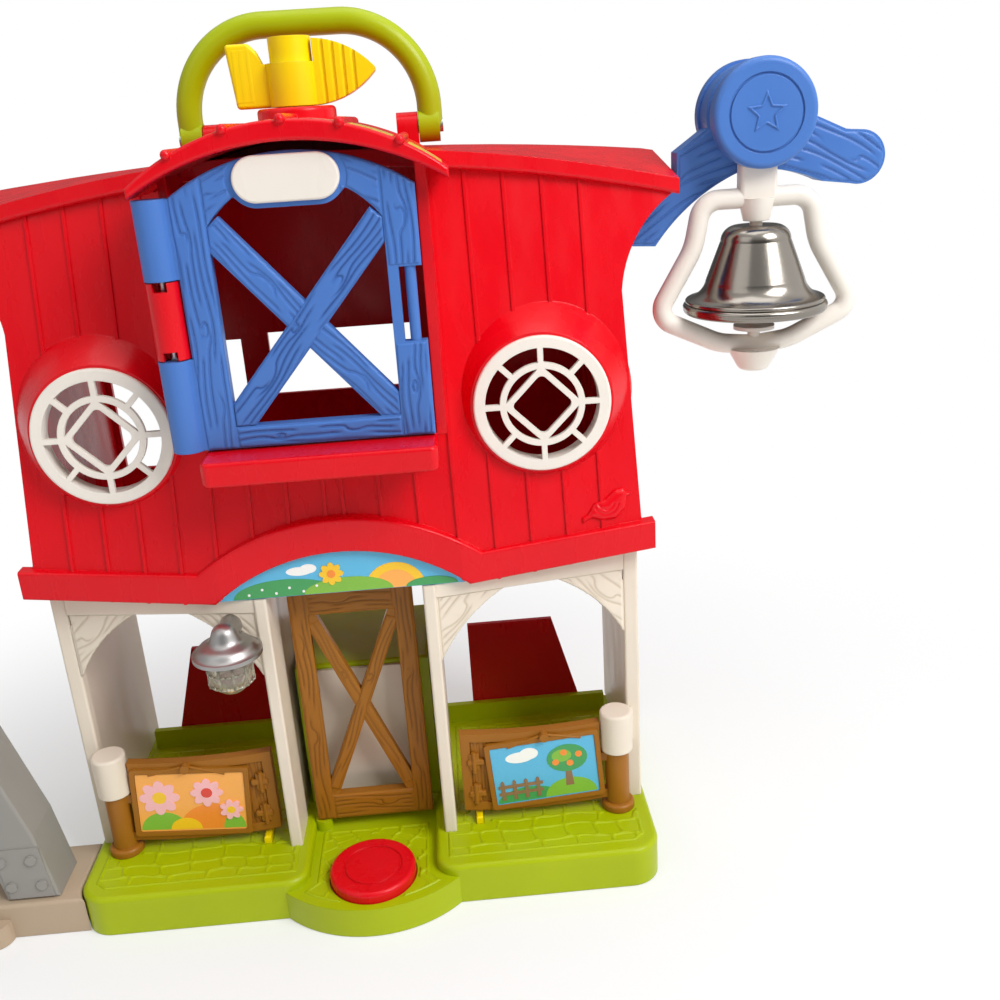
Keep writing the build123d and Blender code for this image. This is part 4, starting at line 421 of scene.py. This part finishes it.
# zinc-plated steel: a cool grey with a soft sheen
zinc = metal("zinc_plated_steel", "#B9BDC2", 0.32, 1.5)
dress(zinc, "base_screws", "button_spring", "battery_contacts", "battery_door_screw", "loft_hinge_pin",
      "vane_axle", "handle_pins", "arm_screws", "bell_pivot_pin")
black = moulded("black_moulded_abs", "#1B1B1D", roughness=0.4)
dress(black, "speaker", "battery_tray")
# solder mask over glass-fibre board: a glossy dark green
solder_mask = moulded("green_solder_mask", "#1E6B3A", roughness=0.22, speck=0.3)
dress(solder_mask, "button_switch", "circuit_board")
jacket = moulded("printed_cell_jacket", "#3A4654", roughness=0.25, speck=2.0)
dress(jacket, "batteries")


# ---- Stalls
# Cream ABS posts, beams and side walls in one moulding for each side, with curved braces under the
# beams that are carved like boards. Maroon panels close the stalls' backs.
def wood(seed, spacing=2.3, knots=(), turn=0.0, rise=0.32, round_over=0.9, cut=0.34, line=0.34, bow=0.0):
    """Height of a board with carved grain: lines run along it, bend round its knots and break off.

    knots are (u, v, size) in mm, turn is the direction of the grain in degrees, and bow bends the
    grain along an arc of that radius. The board stands rise high with its edges rounded over, and its
    lines are line wide and cut deep.
    """
    dice = random.Random(seed)
    phase = [dice.uniform(0, 6.28) for _ in range(4)]
    cos, sin = math.cos(math.radians(turn)), math.sin(math.radians(turn))

    def bent(u, v):
        return v + u**2 / (2 * bow) if bow else v

    def level(u, v):
        """Which grain line a point is on; a swell round each knot pushes the lines apart."""
        total = v + 0.8 * np.sin(u / 13 + phase[0]) + 0.35 * np.sin(u / 5.2 + phase[1] + v / 4)
        for x, z, size in knots:
            knot_u = x * cos + z * sin
            knot_v = bent(knot_u, z * cos - x * sin)
            swell = -(((u - knot_u) / (2.4 * size)) ** 2) - ((v - knot_v) / (0.85 * size)) ** 2
            total = total + 1.7 * size * np.exp(swell)
        return total / spacing

    def height(points, inside):
        u = points[:, 0] * cos + points[:, 1] * sin
        v = bent(u, points[:, 1] * cos - points[:, 0] * sin)
        here = level(u, v)
        slope = np.hypot(level(u + 0.05, v) - here, level(u, v + 0.05) - here) / 0.05
        number = np.round(here)
        off = np.abs(here - number) / np.maximum(slope, 0.06)
        run = u / (7 + 2 * np.sin(number * 5.1)) + number * 2.4 + phase[2]
        broken = np.clip(2.5 * np.sin(run) + 2.2, 0, 1)
        carved = np.exp(-((off / line) ** 2)) * broken * np.clip(inside / 1.2, 0, 1)
        edge = np.clip(inside / round_over, 0, 1)
        crown = np.sqrt(np.clip(1 - (1 - edge) ** 2, 0, 1))
        # the second value is painted shade, darkest along the carved lines
        return -buried + (buried + rise) * crown - cut * carved, 0.8 * carved

    return height


# painted shade: the carved lines are darkened to #C6B69F
cream = moulded("cream_moulded_abs", "#E9DDCB", roughness=0.36, groove_shade="#C6B69F")
dress(cream, "stall_frame_right", "stall_frame_left", "housing_panel")
maroon = moulded("maroon_moulded_abs", "#BE0A1B", roughness=0.3)
dress(maroon, "stall_panel_right", "stall_panel_left")
beam_underside = 126.2
brace_reach, brace_drop, brace_sag = 27.0, 28.0, 0.42
brace_knot = (8.0, 9.0, 2.6)
splay_x, splay_y, splay = 30.0, 23.25, 0.16
slope_length = math.hypot(1, splay)


def arc_points(start, middle, end, count):
    """Points along the circle through three places."""
    (x1, y1), (x2, y2), (x3, y3) = start, middle, end
    twice = 2 * (x1 * (y2 - y3) + x2 * (y3 - y1) + x3 * (y1 - y2))
    s1, s2, s3 = x1**2 + y1**2, x2**2 + y2**2, x3**2 + y3**2
    cx = (s1 * (y2 - y3) + s2 * (y3 - y1) + s3 * (y1 - y2)) / twice
    cy = (s1 * (x3 - x2) + s2 * (x1 - x3) + s3 * (x2 - x1)) / twice
    radius = math.hypot(x1 - cx, y1 - cy)
    turns = [math.atan2(y - cy, x - cx) for x, y in (start, middle, end)]
    for i in (1, 2):
        while turns[i] - turns[i - 1] > math.pi:
            turns[i] -= 2 * math.pi
        while turns[i] - turns[i - 1] < -math.pi:
            turns[i] += 2 * math.pi
    spread = [turns[0] + (turns[2] - turns[0]) * i / (count - 1) for i in range(count)]
    return [(cx + radius * math.cos(a), cy + radius * math.sin(a)) for a in spread]


for side, stall in ((1, "right"), (-1, "left")):
    axes = ((side * splay_x, splay_y, 0), (1 / slope_length, side * splay / slope_length, 0), (0, 0, 1))
    for corner, inward, place in ((35.4, 1, "inner"), (109.9, -1, "outer")):
        tip = (corner + inward * brace_reach, beam_underside)
        middle = (corner + inward * brace_reach * brace_sag, beam_underside - brace_drop * brace_sag)
        knee = (corner, beam_underside - brace_drop)
        curve = [*arc_points(tip, middle, knee, 14), (corner, beam_underside)]
        outline = [(side * (x - splay_x) * slope_length, z) for x, z in curve]
        along, down, size = brace_knot
        knot = (side * (corner + inward * along - splay_x) * slope_length, beam_underside - down, size)
        grain = wood(11 + corner, 2.6, [knot], turn=side * inward * 45.0, line=0.4)
        relief(f"brace_{stall}_{place}", outline, axes, grain, cream, "barn", step=0.4)


# ---- Gates
# Brown ABS gates turn on round posts at the stalls' outer corners. Each is carved as upright boards,
# and a tray hangs on it by two moulded cords from a peg.
def facing(y, x=0.0, z=0.0):
    """Axes for a relief that faces -Y: its origin, u along X and v along Z."""
    return (x, y, z), (1, 0, 0), (0, 0, 1)


def carried(name, axes, outlines, seed, material, body, slot, **more):
    """One carved board for each (outline, knots, turn), numbered."""
    for i, (outline, knots, turn) in enumerate(outlines):
        grain = wood(seed + i, knots=knots, turn=turn, **more)
        relief(f"{name}_{i + 1}", outline, axes, grain, material, body)


def oblong(left, low, right, high):
    """The four corners of an upright oblong."""
    return [(left, low), (right, low), (right, high), (left, high)]


def shaft(shape, start, end, radius, segments=12):
    """A round bar between two places."""
    run = Vector(end) - Vector(start)
    made = bmesh.ops.create_cone(shape, cap_ends=True, segments=segments, radius1=radius, radius2=radius,
                                 depth=run.length)["verts"]
    turn = run.to_track_quat("Z", "Y").to_matrix().to_4x4()
    middle = Matrix.Translation((Vector(start) + Vector(end)) / 2)
    bmesh.ops.transform(shape, matrix=middle @ turn, verts=made)


def slab(shape, low, high, round_over):
    """A block between two corners with its edges rounded over."""
    made = bmesh.ops.create_cube(shape, size=1.0)["verts"]
    size = Vector(high) - Vector(low)
    bmesh.ops.scale(shape, vec=size, verts=made)
    bmesh.ops.translate(shape, vec=(Vector(low) + Vector(high)) / 2, verts=made)
    edges = list(dict.fromkeys(e for v in made for e in v.link_edges))
    bmesh.ops.bevel(shape, geom=edges, offset=round_over, affect="EDGES", segments=3, profile=0.5,
                    material=-1)


# painted shade: the carved lines are darkened to #653D08
brown = moulded("brown_moulded_abs", "#A0661A", roughness=0.38, groove_shade="#653D08")
dress(brown, "gate_right", "gate_left", "barn_door", "door_header")
gate_front = 29.0
plank_front = 30.0
plank_low, plank_high = 24.6, 57.2
# each upright board's left and right edge, and its knots
gate_planks = (
    (43.1, 46.4, []),
    (46.7, 51.5, [(48.8, 50.0, 1.0)]),
    (51.8, 60.0, []),
    (60.4, 69.0, [(65.0, 25.4, 1.2)]),
    (69.4, 78.0, []),
    (78.4, 87.0, []),
    (87.4, 97.3, []),
)
peg_x, peg_z = 74.0, 56.9
cord_radius = 0.6
hinge_x, hinge_radius, hinge_half = 44.4, 1.0, 4.8
leaf_back, leaf_round = 1.6, 0.5
for side, gate in ((1, "right"), (-1, "left")):
    body = f"{gate}_gate"
    planks = []
    for near, far, knots in gate_planks:
        left, right = sorted((side * near, side * far))
        placed = [(side * x, z, size) for x, z, size in knots]
        planks.append((oblong(left, plank_low, right, plank_high), placed, 90.0))
    carried(f"gate_{gate}_plank", facing(plank_front), planks, 40 * side + 60, brown, body, "brown_plastic",
            spacing=1.5, rise=0.3, cut=0.3, line=0.24, round_over=0.5)
    # two moulded cords from the peg to the tray's upper corners, and the strap hinges' leaves
    trim = bmesh.new()
    for reach, drop in ((-15.5, 4.4), (15.5, 2.2)):
        corner = (side * (peg_x + reach), gate_front - 0.8, peg_z - drop)
        shaft(trim, (side * peg_x, gate_front - 0.9, peg_z + 0.6), corner, cord_radius)
    for level in (31.0, 46.5):
        for near, far, proud, half in ((42.2, 46.6, 0.5, 4.0), (41.5, 48.6, 0.9, 1.3)):
            left, right = sorted((side * near, side * far))
            low, high = level - half, level + half
            slab(trim, (left, gate_front - proud, low), (right, gate_front + leaf_back, high), leaf_round)
        pin = Vector((side * hinge_x, gate_front - 0.4, level))
        shaft(trim, pin - Vector((0, 0, hinge_half)), pin + Vector((0, 0, hinge_half)), hinge_radius)
    finished(f"gate_{gate}_trim", trim, [brown], body, smooth=False)


# ---- Pictures on the gates and the sign in the arch
# Printed paper labels under a gloss varnish. Their plain farm motifs are drawn as flat layers of ink.
def varnished(name, colour):
    """Ink under a clear varnish: an even colour with a hard gloss over paper's slight waviness."""
    material, tree = fresh(name)
    where = put(tree, "ShaderNodeTexCoord").outputs["Object"]
    full = srgb(colour)
    light = [*[min(1, c * 1.12 + 0.01) for c in full[:3]], 1]
    dots = noise(tree, where, 0.5, 1.0)
    ink = put(tree, "ShaderNodeMix", {6: full, 7: light}, {0: dots}, data_type="RGBA")
    wave = noise(tree, where, 6, 1.0)
    lift = put(tree, "ShaderNodeBump", {"Strength": 0.08, "Distance": 0.2 * mm}, {"Height": wave})
    coated(tree, {"Roughness": 0.22, "IOR": 1.5}, {"Base Color": ink.outputs[2], "Normal": lift.outputs[0]})
    return material


inks = {name: varnished(f"{name}_ink", code) for name, code in (
    ("sky", "#58B4DC"),
    ("orange", "#F08A2C"),
    ("leaf", "#7DB63A"),
    ("meadow", "#3E9A55"),
    ("straw", "#F3C21E"),
    ("bark", "#8B6B4C"),
    ("petal", "#F4B6B8"),
    ("cloud", "#F4F4EE"),
    ("apple", "#D9402F"),
    ("dusk", "#F7A94C"),
)}
ink_list = list(inks.values())
ink_number = {name: i for i, name in enumerate(inks)}
ink_layer = 0.05
overlap = 0.4


def patch(shape, ink, level, outline, front):
    """One flat layer of ink on a front that faces -Y; later levels lie on earlier ones."""
    y = front - ink_layer * level
    face = shape.faces.new([shape.verts.new((x, y, z)) for x, z in outline])
    face.normal_update()
    if face.normal.y > 0:
        face.normal_flip()
    face.material_index = ink_number[ink]
    grown = bmesh.ops.extrude_face_region(shape, geom=[face], use_keep_orig=True)["geom"]
    bmesh.ops.translate(shape, vec=(0, ink_layer * (level + 1), 0), verts=vertices(grown))


def printed(name, motifs, front, body, placed=lambda outline: outline):
    """A picture made of (ink, outline) pairs, each laid a little over the one before."""
    art = bmesh.new()
    for i, (ink, outline) in enumerate(motifs):
        patch(art, ink, 1 + overlap * i, placed(outline), front)
    finished(name, art, ink_list, body, smooth=False)


def turned(outline, centre, turn):
    """An outline drawn about nought, turned by degrees and moved to a centre."""
    cos, sin = math.cos(math.radians(turn)), math.sin(math.radians(turn))
    return [(centre[0] + x * cos - z * sin, centre[1] + x * sin + z * cos) for x, z in outline]


def round_patch(centre, wide, high, turn=0.0, count=24):
    """Outline of an ellipse."""
    angles = [math.radians(360.0 * i / count) for i in range(count)]
    return turned([(wide * math.cos(a), high * math.sin(a)) for a in angles], centre, turn)


def mound(x, foot, wide, high, count=24):
    """Outline of the upper half of an ellipse that stands on a level."""
    angles = [math.radians(180.0 * i / (count - 1)) for i in range(count)]
    return [(x + wide * math.cos(a), foot + high * math.sin(a)) for a in angles]


def flower(centre, size, petals, ink, heart):
    """A ring of round petals about a heart, as (ink, outline) pairs."""
    ring = []
    for i in range(petals):
        turn = 360.0 * i / petals
        x = centre[0] + size * 0.75 * math.cos(math.radians(turn))
        z = centre[1] + size * 0.75 * math.sin(math.radians(turn))
        ring.append((ink, round_patch((x, z), size * 0.55, size * 0.36, turn, 14)))
    return [*ring, (heart, round_patch(centre, size * 0.45, size * 0.45, 0, 14))]


dress(inks["dusk"], "gate_picture_left")
dress(inks["sky"], "gate_picture_right", "arch_sign")
picture_front = 28.2
left_ground, right_ground = -13.2, -13.4
left_picture = [
    ("orange", mound(8.0, left_ground, 13.5, 12.0)),
    ("leaf", mound(-12.0, left_ground, 9.5, 8.5, 20)),
    ("leaf", mound(17.0, left_ground, 4.6, 7.0, 16)),
    ("straw", mound(-3.0, left_ground, 6.5, 5.5, 16)),
    *flower((-13.0, 2.5), 6.4, 8, "petal", "straw"),
    *flower((6.5, 4.5), 5.2, 8, "petal", "apple"),
    *flower((16.0, -4.0), 3.8, 7, "petal", "straw"),
]
crown_x, crown_z = 9.8, 4.6
fruit = [(crown_x + x, crown_z + z) for x, z in ((-5, -1.5), (-1.2, 2.8), (1.0, -2.6), (5, 1.2))]
picket = [(0.0, -12.0), (1.6, -12.0), (1.6, -3.4), (0.8, -2.4), (0.0, -3.4)]
right_picture = [
    ("cloud", round_patch((-10.0, 8.0), 6.0, 2.6)),
    ("cloud", round_patch((-6.0, 9.2), 4.0, 2.8)),
    ("meadow", mound(-8.0, right_ground, 13.5, 6.5)),
    ("leaf", mound(10.0, right_ground, 11.0, 8.2)),
    ("bark", [(8.0, -9.0), (11.6, -9.0), (10.9, 1.0), (8.8, 1.0)]),
    ("meadow", round_patch((crown_x, crown_z), 8.6, 6.6)),
    ("leaf", round_patch((7.6, 6.0), 4.2, 3.0)),
    *[("orange", round_patch(place, 1.5, 1.5, 0, 12)) for place in fruit],
    *[("bark", [(left + x, z) for x, z in picket]) for left in (-19.5, -14.5, -9.5, -4.5)],
    *[("bark", oblong(-20.6, low, -1.6, low + 1.4)) for low in (-9.6, -6.2)],
]
for gate, motifs, centre, turn in (
    ("left", left_picture, (-74.0, 40.0), -4.0),
    ("right", right_picture, (74.0, 40.0), 4.0),
):
    printed(f"gate_art_{gate}", motifs, picture_front, f"{gate}_gate", lambda o: turned(o, centre, turn))

sign_front = 23.0
sign_foot = 132.4
printed("arch_art", [
    ("cloud", round_patch((-16.0, 142.2), 5.0, 1.8)),
    ("cloud", round_patch((-12.5, 143.0), 3.2, 1.9)),
    ("straw", mound(20.0, sign_foot, 11.5, 10.5)),
    ("dusk", mound(20.0, sign_foot, 8.0, 7.4)),
    ("meadow", mound(-22.0, sign_foot, 20.0, 7.0, 30)),
    ("leaf", mound(2.0, sign_foot, 17.0, 6.0)),
    ("meadow", mound(34.0, sign_foot, 10.0, 3.4, 20)),
    *[("cloud", round_patch((-36.0 + 5.2 * i, 133.9 + 1.9 * (i % 2)), 0.55, 0.55, 0, 8)) for i in range(6)],
    *flower((-4.0, 140.2), 3.6, 8, "straw", "orange"),
], sign_front, "barn")


# ---- Barn door
# A brown ABS door with stiles, rails and crossed braces, carved as boards on its front. It turns on
# the left post of the middle bay.
def crossbar(centre, length, width, turn):
    """The four corners of a bar turned about its middle."""
    return turned(oblong(-length / 2, -width / 2, length / 2, width / 2), centre, turn)


door_front = 38.0
door_low, door_high = 18.4, 127.6
stile_in, stile_out, rail_half = 17.3, 24.6, 17.1
frame_boards = [
    (oblong(-stile_out, door_low, -stile_in, door_high), [(-21.0, 60.0, 1.4), (-21.3, 104.0, 1.2)], 90.0),
    (oblong(stile_in, door_low, stile_out, door_high), [(21.0, 88.0, 1.5), (20.6, 38.0, 1.2)], 90.0),
    (oblong(-rail_half, door_low, rail_half, 29.8), [(6.0, 24.0, 1.6)], 0.0),
    (oblong(-rail_half, 116.2, rail_half, door_high), [(-5.0, 122.0, 1.6)], 0.0),
]
carried("door_board", facing(door_front), frame_boards, 21, brown, "barn_door", "brown_plastic",
        spacing=2.0, line=0.3)
door_middle = (0.0, 73.0)
bar_width = 5.0
inner_x, inner_z = 17.5, 43.0
bar_length = 2 * math.hypot(inner_x, inner_z) - 7.0
bar_turn = math.degrees(math.atan2(inner_z, inner_x))
for name, seed, turn, knot, rise in (
    ("low", 26, 180 - bar_turn, (-6.0, 88.0, 1.1), 0.25),
    ("high", 27, bar_turn, (5.0, 86.0, 1.1), 0.7),
):
    bar = crossbar(door_middle, bar_length, bar_width, turn)
    carried(f"door_bar_{name}", facing(door_front + 0.5), [(bar, [knot], turn)], seed, brown, "barn_door",
            "brown_plastic", spacing=1.7, rise=rise, line=0.26)


# ---- Lantern
# A shade of ABS painted in silver, hung on the left stall's inner brace, over a globe of clear
# polystyrene with moulded ribs.
silver_paint = metal("silver_paint", "#A8A6A4", 0.4, 0.6, bump=0.05)
dress(silver_paint, "lantern_cap")
clear, tree = fresh("clear_polystyrene")
wave = noise(tree, put(tree, "ShaderNodeTexCoord").outputs["Object"], 3, 1.0)
lift = put(tree, "ShaderNodeBump", {"Strength": 0.15, "Distance": 0.3 * mm}, {"Height": wave})
coated(tree, {"Base Color": srgb("#EFEBDD"), "Roughness": 0.08, "IOR": 1.45, "Transmission Weight": 0.85},
       {"Normal": lift.outputs[0]})
dress(clear, "lantern_globe")
lantern_x, lantern_y = -45.0, 12.0
rib_out = 8.5
rib_low, rib_high, rib_radius = 104.0, 114.8, 0.55
hoop_radius = 0.5


def round_globe(degrees, level):
    """A place on the ring where the globe's ribs and hoops lie."""
    turn = math.radians(degrees)
    return Vector((lantern_x + rib_out * math.cos(turn), lantern_y + rib_out * math.sin(turn), level))


ribs = bmesh.new()
for i in range(10):
    shaft(ribs, round_globe(36 * i, rib_low), round_globe(36 * i, rib_high), rib_radius, 8)
for level in (104.6, 109.6):
    for i in range(24):
        shaft(ribs, round_globe(15 * i, level), round_globe(15 * i + 15, level), hoop_radius, 8)
finished("lantern_ribs", ribs, [clear], "barn")


# ---- Front wall, roofs and windows
# The red front wall leans back and carries a small moulded bird by the arch. Printed film patches
# lie on the dormer between its battens. The ring windows are warm white ABS.
white = moulded("warm_white_abs", "#EFE7DC", roughness=0.3)
dress(white, "window_right", "window_left", "bell_yoke", "loft_door_plaque")
bird_size = 1.5
bird = [(bird_size * x, bird_size * z) for x, z in (
    (-6.2, -1.0), (-4.4, 1.6), (-1.4, 2.6), (1.2, 4.6), (3.6, 5.0), (4.6, 3.8), (6.4, 3.2), (4.5, 2.4),
    (4.0, -0.6), (1.4, -3.0), (-2.4, -3.2), (-5.0, -2.2), (-7.6, -3.4), (-7.8, -1.8),
)]
# the wall's front leans back by so much for each mm up, and for each mm out from its flat middle
wall_lean, wall_splay = 0.16, 0.11
flat_x, foot_y, foot_z = 46.0, 20.6, 132.0
bird_x, bird_z = 105.0, 155.0
bird_y = foot_y + wall_lean * (bird_z - foot_z) + wall_splay * (bird_x - flat_x)
wall_axes = ((bird_x, bird_y, bird_z), Vector((1, wall_splay, 0)).normalized(),
             Vector((0, wall_lean, 1)).normalized())


def feathered(points, inside):
    """A rounded body with two pressed lines for a wing."""
    swell = 1.6 * np.sqrt(np.clip(1 - (1 - np.clip(inside / 3.2, 0, 1)) ** 2, 0, 1))
    wing = np.hypot(points[:, 0] + 1.8, points[:, 1] - 2.7)
    pressed = np.exp(-(((wing - 4.8) / 0.4) ** 2)) + np.exp(-(((wing - 3.0) / 0.4) ** 2))
    pressed *= points[:, 1] < 2.1
    return -buried + (buried + 0.2) * np.clip(inside / 0.4, 0, 1) + swell - 0.3 * pressed, 0 * swell


relief("wall_bird", bird, wall_axes, feathered, red, "barn", step=0.3)


def checked(name, one, other, size):
    """Printed film in two inks, laid in small squares of size mm under a gloss and faded in places."""
    material, tree = fresh(name)
    where = put(tree, "ShaderNodeTexCoord").outputs["Object"]
    colours = {"Color1": srgb(one), "Color2": srgb(other), "Scale": 1 / (size * mm)}
    squares = put(tree, "ShaderNodeTexChecker", colours, {"Vector": where}).outputs["Color"]
    faded = ranged(tree, noise(tree, where, 1.2, 2.0), (0.45, 0.8), (0.0, 0.45))
    light = put(tree, "ShaderNodeMix", {7: srgb("#F2E6D8")}, {0: faded, 6: squares}, data_type="RGBA")
    coated(tree, {"Roughness": 0.25}, {"Base Color": light.outputs[2]})
    return material


films = {
    "gold": checked("gold_check_film", "#D9B233", "#E8CF4A", 2.4),
    "rose": checked("rose_check_film", "#C96A72", "#B04652", 1.8),
    "orange": checked("orange_check_film", "#E5662B", "#D94A26", 2.2),
}
dormer_radius = 84.1
dormer_top = 303.4
# y and the height over the roof of a film's four long edges
film_edges = ((10.5, 0.14), (34.0, 0.14), (34.0, -0.3), (10.5, -0.3))
for bay, start, end, film in (
    ("left_outer", -50.0, -39.5, "orange"),
    ("left", -34.5, -20.8, "gold"),
    ("middle_left", -16.2, -3.0, "orange"),
    ("middle_right", 3.0, 16.2, "rose"),
    ("right", 20.8, 34.5, "gold"),
    ("right_outer", 39.5, 50.0, "gold"),
):
    sheet = bmesh.new()
    rows = []
    for i in range(9):
        x = start + (end - start) * i / 8
        z = dormer_top - dormer_radius + math.sqrt(dormer_radius**2 - x * x)
        rows.append([sheet.verts.new((x, y, z + lift)) for y, lift in film_edges])
    for here, there in zip(rows, rows[1:]):
        for j in range(4):
            sheet.faces.new((here[j], there[j], there[(j + 1) % 4], here[(j + 1) % 4]))
    sheet.faces.new(rows[0])
    sheet.faces.new(rows[-1][::-1])
    bmesh.ops.recalc_face_normals(sheet, faces=sheet.faces)
    finished(f"dormer_film_{bay}", sheet, [films[film]], "barn", smooth=False)


# ---- Loft door
# A blue ABS door carved as boards: stiles, rails, two arched top boards and crossed braces. It turns
# on a steel pin at its left; a plain white plaque sits on a boss at its top.
# painted shade: the carved lines are darkened to #23468C
blue = moulded("blue_moulded_abs", "#4A78C2", roughness=0.36, groove_shade="#23468C")
dress(blue, "loft_door", "bell_arm", "arm_front_disc", "arm_back_disc")
loft_front = 13.0
# half width, height at the sides and height at the middle
loft_arch = (40.1, 281.2, 293.6)
inner_arch = (29.0, 271.2, 286.4)
loft_foot, inner_foot = 195.6, 202.8


def arch_line(arch, start, end, count=9):
    """Points along an arched top from one x to another."""
    half, side, apex = arch
    radius = (half**2 + (apex - side) ** 2) / (2 * (apex - side))
    steps = [start + (end - start) * i / (count - 1) for i in range(count)]
    return [(x, apex - radius + math.sqrt(max(radius**2 - x * x, 0))) for x in steps]


def clipped(outline, window):
    """The part of a convex outline that lies in a convex window; both run anticlockwise."""
    for start, end in zip(window, window[1:] + window[:1]):
        run = (end[0] - start[0], end[1] - start[1])
        side = [run[0] * (p[1] - start[1]) - run[1] * (p[0] - start[0]) for p in outline]
        kept = []
        for i, point in enumerate(outline):
            before, last = outline[i - 1], side[i - 1]
            if (last >= 0) != (side[i] >= 0):
                part = last / (last - side[i])
                kept.append(tuple(a + (b - a) * part for a, b in zip(before, point)))
            if side[i] >= 0:
                kept.append(point)
        outline = kept
    return outline


side_in, side_out = 29.2, 40.1
notch_low, notch_high = 228.6, 255.0
rail_reach = 28.9
# the plaque's boss, which the two arched boards stop at
boss_left = arc_points((-17.9, 279.2), (-20.6, 285.5), (-18.2, 291.2), 7)
boss_right = arc_points((15.9, 279.2), (18.6, 285.5), (16.2, 291.2), 7)
loft_boards = [
    ([(-side_out, loft_foot), (-side_in, loft_foot), *arch_line(loft_arch, -side_in, -side_out)],
     [(-34.0, 238.0, 1.7), (-36.0, 268.0, 1.3), (-33.0, 211.0, 1.2)], 90.0),
    ([(side_in, notch_high), (side_out, notch_high), *arch_line(loft_arch, side_out, side_in)],
     [(35.5, 271.0, 1.8)], 90.0),
    (oblong(side_in, loft_foot, side_out, notch_low), [(35.0, 213.0, 1.8)], 90.0),
    (oblong(-rail_reach, loft_foot, rail_reach, inner_foot),
     [(-14.0, 198.8, 1.3), (12.0, 199.6, 1.2)], 0.0),
    ([*arch_line(inner_arch, -rail_reach, -18.2), *boss_left, *arch_line(loft_arch, -18.4, -rail_reach)],
     [(-24.0, 283.0, 1.0)], 24.0),
    ([*boss_right, *arch_line(inner_arch, 16.2, rail_reach), *arch_line(loft_arch, rail_reach, 16.4)],
     [], -24.0),
]
carried("loft_board", facing(loft_front), loft_boards, 71, blue, "loft_door", "blue_plastic", spacing=2.2,
        rise=0.45, cut=0.7)
opening = [(-29.0, 203.2), (29.0, 203.2), *arch_line(inner_arch, 29.0, -29.0, 13)]
loft_middle, loft_bar_length, loft_bar_width, loft_turn = (0.0, 237.2), 89.0, 10.1, 49.5
for name, turn, rise, knots in (
    ("low", 180 - loft_turn, 0.35, [(-12.0, 252.0, 1.8), (16.0, 217.0, 1.6)]),
    ("high", loft_turn, 0.85, [(-16.0, 219.0, 2.0), (12.0, 250.0, 2.0), (-4.0, 236.0, 1.2)]),
):
    bar = clipped(crossbar(loft_middle, loft_bar_length, loft_bar_width, turn), opening)
    carried(f"loft_bar_{name}", facing(loft_front + 0.4), [(bar, knots, turn)], 81, blue, "loft_door",
            "blue_plastic", spacing=2.1, rise=rise, cut=0.7)


# ---- Weather vane
# Yellow polypropylene in one piece on a steel axle: a tail fin pressed with board lines, a round hub
# and a fluted point.
# painted shade: the pressed board lines are darkened to #D9A000
yellow = moulded("yellow_moulded_pp", "#FADC00", roughness=0.36, groove_shade="#D9A000")
dress(yellow, "weather_vane", "gate_key_left", "gate_key_right")
fin_front = 55.5
fin_board = wood(91, spacing=2.6, turn=90.0, rise=0.05, cut=0.2, line=0.3, round_over=0.3)
relief("vane_fin_front", oblong(-20.6, 309.2, -13.6, 327.4), facing(fin_front), fin_board, yellow,
       "weathervane")


# ---- Bell arm
# A blue ABS arm carved as a branch, screwed to the side wall and covered by two plain discs at the
# bell's pivot. A raised star stands on the front disc.
bell_x, pivot_z = 169.3, 295.0
arm_front, disc_front = 66.4, 51.3
under_arm = arc_points((131.0, 249.2), (144.5, 263.6), (163.9, 275.0), 8)
under_branch = arc_points((163.9, 275.0), (181.0, 274.4), (196.0, 269.4), 6)
knob = arc_points((210.4, 267.3), (219.9, 276.8), (212.4, 286.0), 9)
arm_edge = [(x - bell_x, z - pivot_z) for x, z in (
    (112.6, 250.6), *under_arm, *under_branch[1:], (209.6, 267.4), *knob, (204.6, 286.6), (184.6, 296.2),
    (169.3, 297.0), (154.0, 291.8), (140.2, 282.0), (140.0, 269.2), (112.6, 266.0),
)]
branch_knots = [(34.0, -16.0, 2.8), (-32.0, -24.0, 1.8)]
branch = wood(93, 3.6, branch_knots, rise=0.45, round_over=1.4, cut=0.7, line=0.4, bow=62.0)
relief("arm_front", arm_edge, facing(arm_front, bell_x, pivot_z), branch, blue, "barn",
       step=0.5)
star = []
for i in range(10):
    reach = 3.9 if i % 2 else 8.6
    star.append((reach * math.sin(math.radians(36 * i)), reach * math.cos(math.radians(36 * i))))


def outlined(points, inside):
    """A raised line along the outline, with the floor left level."""
    line = np.exp(-(((inside - 0.7) / 0.42) ** 2))
    return -buried + (buried + 0.55) * np.clip(line * 1.2, 0, 1), 0 * line


relief("disc_star", star, facing(disc_front, bell_x, pivot_z), outlined, blue, "barn",
       step=0.25)


# ---- Bell
# A pressed steel bell with a dull, uneven nickel plate. It hangs on the white yoke's rod.
nickel = metal("dull_nickel_plate", "#928C84", 0.2, 0.9, bump=0.16)
dress(nickel, "bell")


# ---- Side yard
# A beige base carries the grey legs of a water tower. A plate is pressed on each leg, held by four
# domed bolts.
grey = moulded("grey_moulded_abs", "#97948E", roughness=0.33)
dress(grey, "yard_tower", "tower_bolts")
beige = moulded("beige_moulded_abs", "#BAA58C", roughness=0.4)
dress(beige, "yard_base")
tower_middle, tower_front = -162.5, 7.0
plate_thick = 0.9
plate_corners = [(17.2, 16.6), (34.9, 16.6), (32.4, 40.2), (14.2, 40.2)]
for side, leg in ((1, "right"), (-1, "left")):
    plate = bmesh.new()
    around = [(tower_middle + side * x, z) for x, z in plate_corners[::side]]
    face = plate.faces.new([plate.verts.new((x, tower_front - plate_thick / 2, z)) for x, z in around])
    grown = bmesh.ops.extrude_face_region(plate, geom=[face], use_keep_orig=True)["geom"]
    bmesh.ops.translate(plate, vec=(0, plate_thick, 0), verts=vertices(grown))
    bmesh.ops.recalc_face_normals(plate, faces=plate.faces)
    finished(f"tower_plate_{leg}", plate, [grey], "barn", smooth=False)


size = {"cad": [list(v) for v in cad_box], "visual": [list(v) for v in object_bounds()]}
